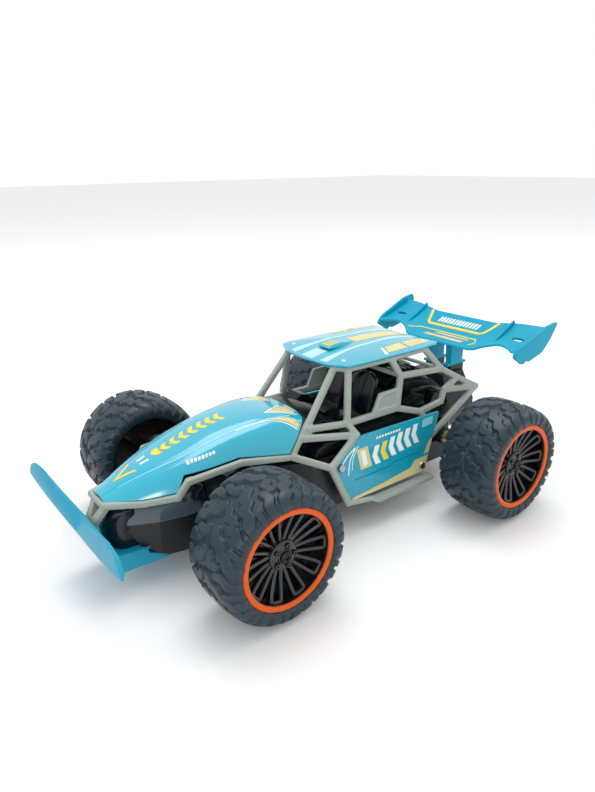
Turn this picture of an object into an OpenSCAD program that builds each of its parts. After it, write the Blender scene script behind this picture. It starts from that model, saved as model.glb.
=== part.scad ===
// Off-road buggy, a radio-controlled toy car, without its handset.
// +X is the nose, +Y the car's left side, +Z up. The origin is on the ground,
// under the middle of the car's bounding box. All sizes are in millimetres.

/* [Wheels] */
// Distance from the front axle to the rear axle
wheelbase = 166; // [162:1:170]
// Outer diameter of every tyre
wheel_d = 72; // [70:0.5:72]
// Width of every tyre
tyre_w = 37.4; // [34:0.2:38]
// Diameter of the seat where the tyre meets the rim
bead_d = 50; // [48:0.5:51]
// Outer diameter of the coloured ring on the face of the rim
ring_d = 53.2; // [51.5:0.1:54]
// Distance between the middles of the front tyres
front_track = 144.2; // [142:0.2:146]
// Distance between the middles of the rear tyres
rear_track = 165.4; // [162:0.2:168]
// Number of spoke pairs in a rim
spoke_pairs = 10; // [6:1:12]

/* [Suspension and steering] */
// Distance of each kingpin from the middle of the car
kingpin_y = 46; // [45:0.5:47]
// Radius of a kingpin
kingpin_r = 1.25; // [1:0.05:1.5]
// Radial clearance of every running fit
running_gap = 0.05; // [0.02:0.01:0.1]
// Radius of the front stub axles and of the rear axle
axle_r = 2; // [1.5:0.1:2.4]
// Wire radius of a suspension spring
spring_wire_r = 0.35; // [0.25:0.05:0.4]
// Turns in a suspension spring
spring_turns = 4; // [3:0.5:5]

/* [Gears] */
// Module of the final drive and of the steering gears
coarse_m = 0.8; // [0.7:0.05:0.8]
// Module of the motor stage
fine_m = 0.6; // [0.5:0.05:0.6]
// Teeth of the small pinions
pinion_teeth = 10; // [9:1:12]

/* [Body] */
// Half width of the black tub between the doors
tub_half_w = 38; // [36:0.5:38]
// Height of the flat underside above the ground
ground_gap = 16; // [14:0.5:18]
// Wall thickness of the moulded shells
shell_t = 1.6; // [1.2:0.1:2]
// Half width of the cage at the belt and the roof
cage_half_w = 32; // [31:0.5:33]
// Radius of the cage tubes
tube_r = 1.7; // [1.4:0.1:1.9]

/* [Hidden] */

front_x = wheelbase / 2 + 4;
rear_x = front_x - wheelbase;
axle_z = wheel_d / 2;
front_y = front_track / 2;
rear_y = rear_track / 2;
floor_t = 2;
floor_top = ground_gap + floor_t;

blue = "#35a3bb";
grey = "#b3bdb2";
black = "#26282b";
orange = "#e07339";
steel = "#b9bcc0";
rubber = "#3b4247";

// Kingpin stack, from the lower arm up to the upper arm
arm_top = 25.7;
knuckle_low = 26;
knuckle_top = 40.5;
seat_low = 40.8;
seat_top = 41.8;
upper_arm_z = 49;
upper_arm_t = 2.4;

// Steering linkage: the rack's pins trail the kingpins
rack_trail = 12;
rack_z = 26.5;
rack_t = 2.5;
rack_pin_r = 1.5;
slot_gap = 0.2;
crank_r = 8;
steer_gear_x = front_x - 24;
steer_teeth = 30;
steer_motor_x = steer_gear_x - (steer_teeth + pinion_teeth) * coarse_m / 2;

// Gear train of the rear axle
axle_teeth = 36;
idler_small_teeth = 12;
idler_big_teeth = 36;
idler_x = rear_x + (axle_teeth + idler_small_teeth) * coarse_m / 2;
motor_x = idler_x + (idler_big_teeth + pinion_teeth) * fine_m / 2;
idler_r = 1.5;
motor_shaft_r = 1;
case_y = 9;
case_wall = 2;
bush_r = 4;
axle_tube_y = 42;

// Joints of the cage's left side
hood_foot = [41, 30.5, 53];
pillar_foot = [23.5, 25.5, 69.5];
pillar_mid_high = [29, 27, 65];
pillar_mid_low = [33.5, 28.3, 61];
pillar_top = [2.5, 22, 96];
belt_front = [0.8, cage_half_w, 63.2];
door_high = [-1, 38.5, 57.5];
roof_front = [0, cage_half_w - 1, 96];
roof_mid = [-34.8, cage_half_w - 1, 96.6];
roof_rear = [-66, cage_half_w - 2, 96.6];
quarter_high = [-43.1, cage_half_w, 83.7];
belt_mid = [-41.3, cage_half_w, 62.7];
belt_rear = [-60, 34.5, 56.4];
window_low = [-80.4, 34.5, 58.6];
window_rear = [-84, 33.4, 65.6];
leg_knee = [-81.5, cage_half_w, 80.4];
leg_low = [-98.5, cage_half_w, 71];
tail_node = [-120, cage_half_w, 60];
tail_low = [-68.6, 39, 40];
door_front = [22.5, 43.2, 45];
door_toe = [11.5, 46.2, 19.8];

// A joint ball is a little fatter than its tubes
ball_ratio = 1.12;

// Shared shapes

module both_sides() {
  children();
  mirror([0, 1, 0]) children();
}

// Straight bar between two points, an octagon across
module strut(p, q, r) {
  d = q - p;
  run = norm([d.x, d.y]);
  translate(p)
    rotate([0, atan2(run, d.z), atan2(d.y, d.x)])
      cylinder(h = norm(d), r = r, $fn = 8);
}

module joint_ball(p, r) {
  translate(p) sphere(r = r * ball_ratio, $fn = 24);
}

// Struts from point to point, without balls
module run(points, r) {
  for (i = [0 : len(points) - 2]) strut(points[i], points[i + 1], r);
}

// Struts from point to point, with a ball at each point
module chain(points, r) {
  run(points, r);
  for (p = points) joint_ball(p, r);
}

// Cylinder along +Y from y0 to y1
module y_rod(x, y0, y1, z, r) {
  translate([x, y0, z]) rotate([-90, 0, 0]) cylinder(h = y1 - y0, r = r, $fn = 48);
}

module box(low, high) {
  translate(low) cube(high - low);
}

// Side profile in X and Z, extruded from y = -half_y to half_y
module side_slab(points, half_y) {
  translate([0, half_y, 0]) rotate([90, 0, 0]) linear_extrude(2 * half_y) polygon(points);
}

// Gear teeth: involute flanks, stub addendum, with backlash
pressure_angle = 25;
backlash = 0.12;
function involute(r, base) = r <= base ? 0 : tan(acos(base / r)) * 180 / PI - acos(base / r);
function polar(r, a) = [r * cos(a), r * sin(a)];

module gear_outline(teeth, m) {
  pitch = teeth * m / 2;
  base = pitch * cos(pressure_angle);
  tip = pitch + 0.8 * m;
  root = pitch - 1.05 * m;
  low = max(base, root);
  steps = 5;
  half = 90 / teeth - backlash / (4 * pitch) * 180 / PI + involute(pitch, base);
  radii = [for (k = [0 : steps]) low + (tip - low) * k / steps];
  rise = concat(root < base ? [root] : [], radii);
  polygon([
    for (i = [0 : teeth - 1])
      each concat(
        [for (r = rise) polar(r, i * 360 / teeth - half + involute(r, base))],
        [for (k = [len(rise) - 1 : -1 : 0])
          polar(rise[k], i * 360 / teeth + half - involute(rise[k], base))]
      )
  ]);
}

// Black tub and what is fixed in it

tub_plan = [
  [-104, -24], [-92, -33], [-60, -34], [-52, -tub_half_w], [14, -tub_half_w], [30, -36], [51.5, -25],
  [51.5, 25], [30, 36], [14, tub_half_w], [-52, tub_half_w], [-60, 34], [-92, 33], [-104, 24],
];
tub_hollow = [
  [-100, -23], [-91, -31], [-60.6, -32], [-52.6, -tub_half_w + 2], [13.6, -tub_half_w + 2], [29, -34],
  [49.5, -24], [49.5, 24], [29, 34], [13.6, tub_half_w - 2], [-52.6, tub_half_w - 2], [-60.6, 32],
  [-91, 31], [-100, 23],
];
tub_top = 46;
bay_x0 = -26;
bay_x1 = 32;
bay_y = 17;
switch_x = -44;
switch_y = 28;
switch_len = 6;
switch_w = 3;
switch_travel = 3;
screw_r = 1.3;
tub_screws = [[-98, 18], [-66, 29.5], [-8, 30], [42, 20]];
// Sunk heads, so that the underside is flat
head_r = 2.8;
head_depth = 1.5;
door_screw_x = bay_x1 + 5;
steer_gap_y = 14;

module tub_body() {
  difference() {
    translate([0, 0, ground_gap]) linear_extrude(tub_top - ground_gap) polygon(tub_plan);
    // Inside of the tub, less the screw bosses
    difference() {
      translate([0, 0, floor_top]) linear_extrude(tub_top) polygon(tub_hollow);
      for (s = tub_screws) both_sides()
        translate([s.x, s.y, floor_top - 1]) cylinder(h = 9, r = 3, $fn = 32);
    }
    // Battery bay
    box([bay_x0, -bay_y, 0], [bay_x1 + 10, bay_y, floor_top + 1]);
    // Slot of the power switch
    box([switch_x - 0.2, switch_y - switch_w / 2 - 0.2, 0],
        [switch_x + switch_len + switch_travel + 0.2, switch_y + switch_w / 2 + 0.2, floor_top + 1]);
    // Way through to the steering housing
    box([45, -steer_gap_y, floor_top], [60, steer_gap_y, tub_top + 1]);
    // Clearance round the axle tubes of the gearbox
    both_sides() box([rear_x - 6.2, 20, axle_z - 6.2], [rear_x + 6.2, 40, tub_top + 1]);
    for (s = tub_screws) both_sides() translate([s.x, s.y, ground_gap - 1]) {
      cylinder(h = 9, r = screw_r, $fn = 32);
      cylinder(h = 1 + head_depth, r = head_r, $fn = 48);
    }
  }
}

// Ledge that the screw of the battery door goes into
ledge_side = [
  [bay_x1 + 2, floor_top], [bay_x1 + 10, floor_top], [bay_x1 + 10, floor_top - 0.5],
  [bay_x1 + 12.6, floor_top - 0.5], [bay_x1 + 12.6, floor_top + 3], [bay_x1 + 2, floor_top + 3],
];

module chassis_tub() {
  color(black) {
    tub_body();
    difference() {
      side_slab(ledge_side, 5);
      translate([door_screw_x, 0, 0]) cylinder(h = 40, r = screw_r, $fn = 32);
    }
  }
}

module battery_door() {
  color(black) difference() {
    box([bay_x0 + 0.2, -bay_y + 0.2, ground_gap], [bay_x1 + 9.8, bay_y - 0.2, floor_top]);
    translate([door_screw_x, 0, ground_gap - 1]) {
      cylinder(h = 4, r = screw_r, $fn = 32);
      cylinder(h = 1 + head_depth, r = head_r, $fn = 48);
    }
    // Finger grooves
    for (i = [0 : 3])
      box([bay_x0 + 8 + 4 * i, -10, ground_gap - 1], [bay_x0 + 9.4 + 4 * i, 10, ground_gap + 0.6]);
  }
}

module battery_pack() {
  cell_r = 7.5;
  color("#3d6fb4") for (y = [-7.6, 7.6])
    translate([bay_x0 + 2, y, floor_top + cell_r + 0.4]) rotate([0, 90, 0])
      cylinder(h = 50, r = cell_r, $fn = 48);
}

board_z = 40;
module circuit_board() {
  color("#2f6b45") box([-22, -20, board_z], [30, 20, board_z + 1.6]);
  color(black) box([-6, -6, board_z + 1.6], [4, 6, board_z + 3]);
  color(black) box([12, -14, board_z + 1.6], [18, -8, board_z + 3]);
  color(steel) translate([-14, 10, board_z + 1.6]) cylinder(h = 2.6, r = 3, $fn = 32);
  // Legs that stand on the tub's floor
  color(black) for (x = [-20, 28]) both_sides()
    translate([x, 18.3, floor_top]) cylinder(h = board_z - floor_top, r = 1.2, $fn = 24);
}

// Moulded black interior: dash, console and raised rear deck
deck_z = 48.2;
module cockpit_deck() {
  color(black) difference() {
    union() {
      translate([0, 0, tub_top]) linear_extrude(deck_z - tub_top) polygon(tub_plan);
      // Dash under the windscreen
      side_slab([[12, deck_z - 0.5], [38, deck_z - 0.5], [34, 58], [24, 67], [17, 67], [12, 62]], 24);
      // Console between the seats
      side_slab([[-34, deck_z - 0.5], [14, deck_z - 0.5], [10, 55], [-30, 54]], 4);
      // Engine cover behind the seats
      side_slab([[-99, deck_z - 0.5], [-42, deck_z - 0.5], [-46, 66], [-60, 73], [-88, 69], [-99, 60]], 19);
      // Side shelves up to the belt
      both_sides() box([-74, 24, deck_z - 0.5], [4, 32, 55.5]);
    }
    // Room for the gearbox cover under the deck
    side_slab([[-98, 40], [-37, 40], [-37, 47], [-62, 56.5], [-98, 56.5]], 11);
    // Room for the motor of the steering
    box([36.5, -12, 40], [52, 12, 60]);
    // Slots of the engine cover
    for (i = [0 : 5]) box([-86 + 6 * i, -15, 66], [-83 + 6 * i, 15, 80]);
  }
}

module seats() {
  color(black) both_sides() {
    side_slab_at([[-28, deck_z], [-6, deck_z], [-5, 54], [-22, 55], [-31, 80], [-36, 81], [-35, 60]], 6, 22);
    translate([-33, 14, 83]) sphere(r = 6, $fn = 32);
  }
}

// Side profile extruded from y0 to y1
module side_slab_at(points, y0, y1) {
  translate([0, y1, 0]) rotate([90, 0, 0]) linear_extrude(y1 - y0) polygon(points);
}

// Blue and grey body shells

// Cross-sections of the hood: x, half width at the edge, edge height,
// half width of the crest, crest height, ridge height
hood_sections = [
  [142, 8.3, 49.5, 3, 50.5, 51],
  [125.6, 16.8, 49.5, 8, 57.5, 59.6],
  [104, 24.8, 51, 14.5, 63.8, 66.6],
  [68, 28.4, 52, 18, 72.4, 76],
  [41, 30.2, 54.6, 20.5, 73.6, 76],
  [25.6, 30, 55, 21.5, 71.3, 73.4],
];
hood_edge = [
  [150, 50.8], [141.2, 50.2], [125.6, 49.9], [109.6, 51.5], [104.4, 58.9], [73.6, 61.2],
  [43, 55.9], [26, 72.8], [23, 74], [23, 90], [150, 90],
];

module hood_section(s, inset) {
  drop = inset * 1.2;
  translate([s[0] - inset, 0, 0]) rotate([90, 0, 90]) linear_extrude(0.1) polygon([
    [-s[1] + inset, s[2] - 2], [s[1] - inset, s[2] - 2], [s[3] - inset / 2, s[4] - drop],
    [0, s[5] - drop], [-s[3] + inset / 2, s[4] - drop],
  ]);
}

module hood_body(inset) {
  hull() for (s = hood_sections) hood_section(s, inset);
}

module hood_shell() {
  color(blue) intersection() {
    difference() {
      hood_body(0);
      translate([-0.5, 0, 0]) hood_body(shell_t);
    }
    side_slab(hood_edge, 40);
  }
}

trim_r = 1.5;
trim_path = [
  [142.4, 8.6, 48.4], [125.6, 17.4, 47.6], [109.6, 25.2, 49.2], [104, 26.4, 56.4],
  [73.6, 29.2, 58.9], [46, 30.6, 54],
];
nose_foot = [147.8, 6.1, 38.8];

module hood_trim() {
  color(grey) {
    both_sides() {
      chain(trim_path, trim_r);
      chain([trim_path[0], nose_foot], trim_r);
    }
    strut([142.4, -8.6, 48.4], trim_path[0], trim_r);
    strut([nose_foot.x, -nose_foot.y, nose_foot.z], nose_foot, trim_r);
  }
}

roof_plan = [
  [7.2, 0], [6.2, 20.2], [0.2, 32.2], [-8, 33.4], [-60, 33.4], [-78.5, 31], [-77.1, 0],
];
function flip(points) = [for (i = [len(points) - 1 : -1 : 0]) [points[i].x, -points[i].y]];
roof_low = 98.2;
roof_edge_t = 1.4;

module roof_body(drop, inset) {
  outline = concat(roof_plan, flip(roof_plan));
  hull() {
    translate([0, 0, roof_low - drop]) linear_extrude(roof_edge_t)
      offset(delta = -inset) polygon(outline);
    translate([-4, 0, roof_low + 3.6 - drop]) scale([0.84, 0.6, 1]) linear_extrude(0.4)
      offset(delta = -inset) polygon(outline);
  }
}

module roof_panel() {
  color(blue) {
    difference() {
      roof_body(0, 0);
      roof_body(1.5, 1.4);
    }
    // Raised scoop in the middle
    hull() {
      box([-28, -5, 101.6], [-8, 5, 102.4]);
      box([-27, -4, 102.4], [-16, 4, 104.4]);
    }
  }
}

// Door panel, leaning in towards the top
door_lean = atan(6.4 / 36);
door_foot = [0, 46.8, 18.6];
door_outline = [[9.4, 1.6], [-54, 1.8], [-73, 37.4], [-4.2, 39], [19.8, 26.6]];

module door_panel() {
  color(blue) translate(door_foot) rotate([door_lean, 0, 0]) {
    difference() {
      rotate([90, 0, 0]) linear_extrude(2) polygon(door_outline);
      for (p = [[14.5, 24], [-52, 6]])
        translate([p.x, 1, p.y]) rotate([90, 0, 0]) cylinder(h = 4, r = screw_r, $fn = 32);
      // Groove along the lower third
      box([-50, -0.6, 13.4], [6, 1, 14.2]);
    }
  }
}

module door_panel_left() { door_panel(); }
module door_panel_right() { mirror([0, 1, 0]) door_panel(); }

cage_runs = [
  [hood_foot, pillar_mid_low, pillar_mid_high, pillar_foot, pillar_top, roof_front, roof_mid, roof_rear],
  [pillar_mid_high, belt_front, belt_mid, belt_rear, window_low, window_rear, leg_low],
  [pillar_mid_low, door_high, belt_front, roof_front],
  [hood_foot, door_front, door_high],
  [door_front, door_toe],
  [roof_mid, quarter_high, belt_mid],
  [quarter_high, leg_knee, roof_rear],
  [leg_knee, leg_low, tail_node, tail_low, belt_rear],
  [window_rear, tail_node],
];
cage_joints = [
  hood_foot, pillar_mid_low, pillar_mid_high, pillar_foot, pillar_top, roof_front, roof_mid, roof_rear,
  belt_front, belt_mid, belt_rear, window_low, window_rear, leg_low, door_high, door_front, door_toe,
  quarter_high, leg_knee, tail_node, tail_low,
];

module roll_cage() {
  color(grey) {
    for (points = cage_runs) run(points, tube_r);
    for (p = cage_joints) joint_ball(p, tube_r);
    // Solid quarter panel
    side_slab_at([[-41, 64], [-20, 64.6], [-25.5, 75.6], [-42.6, 76]], cage_half_w - 1, cage_half_w + 1);
    // Skirt under the door
    side_slab_at([[-8, 15.6], [-56, 15.6], [-58, 18], [-4, 18]], 46.2, 51.5);
    strut(door_toe, [-6, 47.4, 17], tube_r);
  }
}

module roll_cage_left() { roll_cage(); }
module roll_cage_right() { mirror([0, 1, 0]) roll_cage(); }

module cage_crossbars() {
  color(grey) for (p = [pillar_top, roof_mid, quarter_high, leg_knee]) {
    inner = p.y - tube_r * ball_ratio - 0.1;
    strut([p.x, -inner, p.z], [p.x, inner, p.z], tube_r * 0.85);
  }
}

// Front bumper: a crescent blade on a tray
blade_half_w = 64.5;
blade_steps = 8;
function blade_front(u) = 154.8 + 3.2 * sin(u * 90);
function blade_low(u) = 33 + 9.6 * u;
function blade_high(u) = 40.9 + 10.6 * pow(min(1, u / 0.72), 1.05);

module blade_slice(y) {
  u = abs(y) / blade_half_w;
  lean = 3.6 * (1 - u);
  hull() {
    translate([blade_front(u) - 1.8, y - 0.05, blade_low(u)]) cube([1.8, 0.1, 0.4]);
    translate([blade_front(u) - 1.8 - lean, y - 0.05, blade_high(u)]) cube([1.8, 0.1, 0.4]);
  }
}

tray_side = [
  [154.4, 32], [154.4, 35], [150, 35], [143.6, 18.5], [117, ground_gap], [105.5, ground_gap],
  [105.5, ground_gap - 2], [117, ground_gap - 2], [144.4, 14.6],
];
tray_web = [
  [154, 33], [150.5, 37], [145.5, 25.2], [127, 23.6], [126, 20.2], [116, ground_gap - 0.2],
  [116, ground_gap - 2], [144.4, 14.8],
];
bumper_screw = [110, 12];

module front_bumper() {
  color(blue) difference() {
    bumper_solid();
    both_sides() translate([bumper_screw.x, bumper_screw.y, 0])
      cylinder(h = 18, r = screw_r + running_gap, $fn = 32);
  }
}

module bumper_solid() {
  union() {
    for (i = [-blade_steps : blade_steps - 1]) hull() {
      blade_slice(i * blade_half_w / blade_steps);
      blade_slice((i + 1) * blade_half_w / blade_steps);
    }
    side_slab(tray_side, 20);
    both_sides() side_slab_at(tray_web, 18.6, 20.6);
  }
}

// Front end: housing with the lower arms, upper arm plate, kingpins

housing_plan = [
  [51.7, -24.5], [104, -24.5], [119.5, -21.4], [134, -14.5],
  [134, 14.5], [119.5, 21.4], [104, 24.5], [51.7, 24.5],
];
housing_side = [[51.7, ground_gap], [116, ground_gap], [128, 22], [134, 33], [133.2, 36.5], [51.7, 36.5]];

module housing_core() {
  difference() {
    intersection() {
      translate([0, 0, ground_gap]) linear_extrude(40) polygon(housing_plan);
      side_slab(housing_side, 30);
    }
    // Hollow, open to the top
    translate([0, 0, floor_top]) linear_extrude(40) polygon([
      [53.7, -22.5], [104, -22.5], [117, -19.6], [125, -14],
      [125, 14], [117, 19.6], [104, 22.5], [53.7, 22.5],
    ]);
    // Way through to the tub
    box([50, -steer_gap_y, floor_top], [56, steer_gap_y, 60]);
    // Side windows for the rack
    box([front_x - rack_trail - 8, -30, arm_top - 0.2], [front_x - rack_trail + 6, 30, 31.6]);
    both_sides() translate([bumper_screw.x, bumper_screw.y, 0]) cylinder(h = 30, r = screw_r, $fn = 32);
    // Pocket of the trim lever
    translate([lever_x, 0, ground_gap - 1]) cylinder(h = 1.8, r = lever_r + 0.3, $fn = 48);
    translate([lever_x, 0, 0]) cylinder(h = 30, r = lever_pin_r + running_gap, $fn = 48);
  }
}

module steering_housing() {
  color(black) difference() {
    union() {
      housing_core();
      // Lower arms
      both_sides() {
        box([front_x - 7, 24, 22.4], [front_x + 7, kingpin_y, arm_top]);
        translate([front_x, kingpin_y, 22.4]) cylinder(h = arm_top - 22.4, r = 5, $fn = 48);
      }
      // Towers that carry the upper arm plate
      both_sides() box([front_x - 6, 21, 34.5], [front_x + 6, 24.5, upper_arm_z]);
      // Post of the steering gear
      translate([steer_gear_x, 0, floor_top - 0.5]) cylinder(h = 19, r = idler_r - running_gap, $fn = 48);
    }
    both_sides() translate([front_x, kingpin_y, 0]) cylinder(h = 40, r = kingpin_r, $fn = 48);
  }
}

module upper_arm_plate() {
  color(black) difference() {
    union() {
      box([front_x - 6, -kingpin_y, upper_arm_z], [front_x + 6, kingpin_y, upper_arm_z + upper_arm_t]);
      both_sides() translate([front_x, kingpin_y, upper_arm_z]) cylinder(h = upper_arm_t, r = 5, $fn = 48);
    }
    both_sides() translate([front_x, kingpin_y, 40]) cylinder(h = 20, r = kingpin_r, $fn = 48);
  }
}

module kingpins() {
  color(steel) both_sides() translate([front_x, kingpin_y, 0]) {
    translate([0, 0, 22.4]) cylinder(h = upper_arm_z + upper_arm_t - 22.4, r = kingpin_r, $fn = 48);
    translate([0, 0, upper_arm_z + upper_arm_t]) cylinder(h = 1.2, r = 2.4, $fn = 48);
  }
}

module spring_seat() {
  color(black) translate([front_x, kingpin_y, seat_low]) difference() {
    cylinder(h = seat_top - seat_low, r = 4.2, $fn = 48);
    translate([0, 0, -1]) cylinder(h = 3, r = kingpin_r + running_gap, $fn = 48);
  }
}

module spring_seat_left() { spring_seat(); }
module spring_seat_right() { mirror([0, 1, 0]) spring_seat(); }

// Coil spring: one wire swept along a helix
spring_r = 2.9;
wire_sides = 6;
ring_steps = 14;
function spring_point(k, j, n) =
  let (turn = 360 * spring_turns * k / n, a = 360 * j / wire_sides, r = spring_r + spring_wire_r * cos(a),
       rise = upper_arm_z - seat_top - 2 * spring_wire_r)
  [r * cos(turn), r * sin(turn), seat_top + spring_wire_r * (1 + sin(a)) + rise * k / n];

module spring() {
  n = spring_turns * ring_steps;
  side_faces = [
    for (k = [0 : n - 1]) for (j = [0 : wire_sides - 1])
      let (a = k * wire_sides + j, b = k * wire_sides + (j + 1) % wire_sides)
      each [[a, a + wire_sides, b], [b, a + wire_sides, b + wire_sides]]
  ];
  end_faces = [
    [for (j = [0 : wire_sides - 1]) j],
    [for (j = [wire_sides - 1 : -1 : 0]) n * wire_sides + j],
  ];
  color(steel) translate([front_x, kingpin_y, 0]) polyhedron(
    points = [for (k = [0 : n]) for (j = [0 : wire_sides - 1]) spring_point(k, j, n)],
    faces = concat(side_faces, end_faces)
  );
}

module spring_left() { spring(); }
module spring_right() { mirror([0, 1, 0]) spring(); }

arm_slot_z = 31;
arm_slot_t = 2.4;
stub_y = 50;
hub_gap = 0.4;
hub_half = 9;

module knuckle() {
  boss_end = front_y - hub_half - hub_gap;
  color(black) difference() {
    union() {
      translate([front_x, kingpin_y, knuckle_low])
        cylinder(h = knuckle_top - knuckle_low, r = 4.5, $fn = 48);
      y_rod(front_x, kingpin_y, boss_end, axle_z, 4.5);
      // Steering arm with the slot for the rack's pin
      box([front_x - rack_trail - 1, kingpin_y - 3.4, arm_slot_z],
          [front_x, kingpin_y + 3.4, arm_slot_z + arm_slot_t]);
      translate([front_x - rack_trail - 1, kingpin_y, arm_slot_z])
        cylinder(h = arm_slot_t, r = 3.4, $fn = 48);
    }
    translate([front_x, kingpin_y, 0]) cylinder(h = 60, r = kingpin_r + running_gap, $fn = 48);
    y_rod(front_x, stub_y, boss_end + 1, axle_z, axle_r);
    // Slot along X
    for (shift = [-1, 1]) translate([front_x - rack_trail + shift, kingpin_y, 0])
      cylinder(h = 60, r = rack_pin_r + slot_gap, $fn = 48);
    box([front_x - rack_trail - 1, kingpin_y - rack_pin_r - slot_gap, 0],
        [front_x - rack_trail + 1, kingpin_y + rack_pin_r + slot_gap, 60]);
  }
}

module knuckle_left() { knuckle(); }
module knuckle_right() { mirror([0, 1, 0]) knuckle(); }

// Middle of the spoke face, out from the middle of the tyre
hub_face = 13.5;
stub_end = front_y + hub_face + 0.3;

module stub_axle() {
  color(steel) difference() {
    y_rod(front_x, stub_y, stub_end, axle_z, axle_r);
    y_rod(front_x, stub_end - 8, stub_end + 1, axle_z, 1);
  }
}

module stub_axle_left() { stub_axle(); }
module stub_axle_right() { mirror([0, 1, 0]) stub_axle(); }

module steering_rack() {
  pin_x = front_x - rack_trail;
  crank_x = steer_gear_x + crank_r;
  color("#33363a") difference() {
    union() {
      box([pin_x - 3, -kingpin_y - 3, rack_z], [pin_x + 3, kingpin_y + 3, rack_z + rack_t]);
      box([crank_x - 4.2, -5, rack_z], [pin_x, 5, rack_z + rack_t]);
      both_sides() translate([pin_x, kingpin_y, rack_z])
        cylinder(h = arm_slot_z + arm_slot_t + 5 - rack_z, r = rack_pin_r, $fn = 48);
    }
    for (shift = [-1, 0.4]) translate([crank_x + shift, 0, rack_z - 1])
      cylinder(h = rack_t + 2, r = rack_pin_r + slot_gap, $fn = 48);
    box([crank_x - 1, -rack_pin_r - slot_gap, rack_z - 1],
        [crank_x + 0.4, rack_pin_r + slot_gap, rack_z + rack_t + 1]);
  }
}

steer_gear_z = 32;
steer_gear_t = 3;

module steering_gear() {
  color("#e6e4da") translate([steer_gear_x, 0, 0]) difference() {
    union() {
      translate([0, 0, steer_gear_z]) linear_extrude(steer_gear_t) gear_outline(steer_teeth, coarse_m);
      translate([0, 0, 29.8]) cylinder(h = 2.4, r = 3.6, $fn = 48);
      box([0, -2.4, 29.8], [crank_r, 2.4, 32]);
      translate([crank_r, 0, rack_z]) cylinder(h = 5.5, r = rack_pin_r, $fn = 48);
    }
    cylinder(h = 60, r = idler_r, $fn = 48);
  }
}

pinion_shaft_r = 0.75;
servo_low = 37;

module steering_pinion() {
  color("#d8c27a") translate([steer_motor_x, 0, 0]) {
    translate([0, 0, steer_gear_z]) rotate([0, 0, 180 / pinion_teeth])
      linear_extrude(steer_gear_t) gear_outline(pinion_teeth, coarse_m);
    translate([0, 0, steer_gear_z]) cylinder(h = servo_low + 6 - steer_gear_z, r = pinion_shaft_r, $fn = 48);
  }
}

module steering_motor() {
  color(steel) difference() {
    translate([steer_motor_x, 0, servo_low]) cylinder(h = 20, r = 7.2, $fn = 64);
    translate([steer_motor_x, 0, servo_low - 1]) cylinder(h = 8, r = pinion_shaft_r + running_gap, $fn = 48);
  }
}

// Controls on the underside

lever_x = 100;
lever_r = 4;
lever_pin_r = 1.2;

module trim_lever() {
  color(orange) translate([lever_x, 0, 0]) {
    translate([0, 0, ground_gap - 0.6]) cylinder(h = 1.2, r = lever_r, $fn = 48);
    translate([0, 0, ground_gap]) cylinder(h = 5, r = lever_pin_r, $fn = 48);
    translate([0, 0, ground_gap - 1.8]) box([-0.8, -3.6, 0], [0.8, 3.6, 1.4]);
  }
}

module power_switch() {
  color(orange) {
    box([switch_x, switch_y - switch_w / 2, ground_gap - 1.2],
        [switch_x + switch_len, switch_y + switch_w / 2, floor_top + 0.4]);
    box([switch_x - 1, switch_y - switch_w / 2 - 1, floor_top + 0.3],
        [switch_x + switch_len + 1, switch_y + switch_w / 2 + 1, floor_top + 1.8]);
  }
}

// Rear gearbox

case_side = [[-97, 18.2], [-38, 18.2], [-38, 44.6], [-62, 54.4], [-97, 54.4]];
case_hollow = [[-95, 20.2], [-40, 20.2], [-40, 43.2], [-62.4, 52.4], [-95, 52.4]];

module gearbox_shell() {
  difference() {
    union() {
      side_slab(case_side, case_y);
      both_sides() y_rod(rear_x, case_y - 0.5, axle_tube_y, axle_z, 5.6);
    }
    side_slab(case_hollow, case_y - case_wall);
    y_rod(rear_x, -axle_tube_y - 1, axle_tube_y + 1, axle_z, bush_r);
    y_rod(idler_x, -case_y - 1, case_y + 1, axle_z, idler_r);
    y_rod(motor_x, 0, case_y + 1, axle_z, motor_shaft_r + 0.6);
  }
}

module gearbox_case() {
  color("#303236") intersection() {
    gearbox_shell();
    box([-110, -60, 0], [0, 60, axle_z]);
  }
}

module gearbox_cover() {
  color("#3a3d42") intersection() {
    gearbox_shell();
    box([-110, -60, axle_z], [0, 60, 90]);
  }
}

bush_len = 4;
module axle_bushes() {
  color("#c9a65a") for (y = [case_y - case_wall, axle_tube_y - bush_len]) both_sides() difference() {
    y_rod(rear_x, y, y + bush_len, axle_z, bush_r);
    y_rod(rear_x, y - 1, y + bush_len + 1, axle_z, axle_r + running_gap);
  }
}

module idler_pin() {
  color(steel) y_rod(idler_x, -case_y, case_y, axle_z, idler_r);
}

module y_gear(x, y0, y1, teeth, m, turn) {
  translate([x, y0, axle_z]) rotate([-90, 0, 0]) rotate([0, 0, turn])
    linear_extrude(y1 - y0) gear_outline(teeth, m);
}

module axle_gear() {
  color("#e6e4da") difference() {
    union() {
      y_gear(rear_x, -5.5, -1, axle_teeth, coarse_m, 0);
      y_rod(rear_x, -6.4, 6.4, axle_z, 4.4);
    }
    y_rod(rear_x, -10, 10, axle_z, axle_r);
  }
}

module idler_gear() {
  color("#e6e4da") difference() {
    union() {
      y_gear(idler_x, -6.2, 0.6, idler_small_teeth, coarse_m, 180 / idler_small_teeth);
      y_gear(idler_x, 0.6, 4, idler_big_teeth, fine_m, 0);
      y_rod(idler_x, 4, 6.6, axle_z, 3);
    }
    y_rod(idler_x, -10, 10, axle_z, idler_r + running_gap);
  }
}

motor_face = case_y + 0.2;

module motor_pinion() {
  color("#d8c27a") {
    y_gear(motor_x, 0.4, 4.4, pinion_teeth, fine_m, 180 / pinion_teeth);
    y_rod(motor_x, 4.4, motor_face + 6, axle_z, motor_shaft_r);
  }
}

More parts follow.
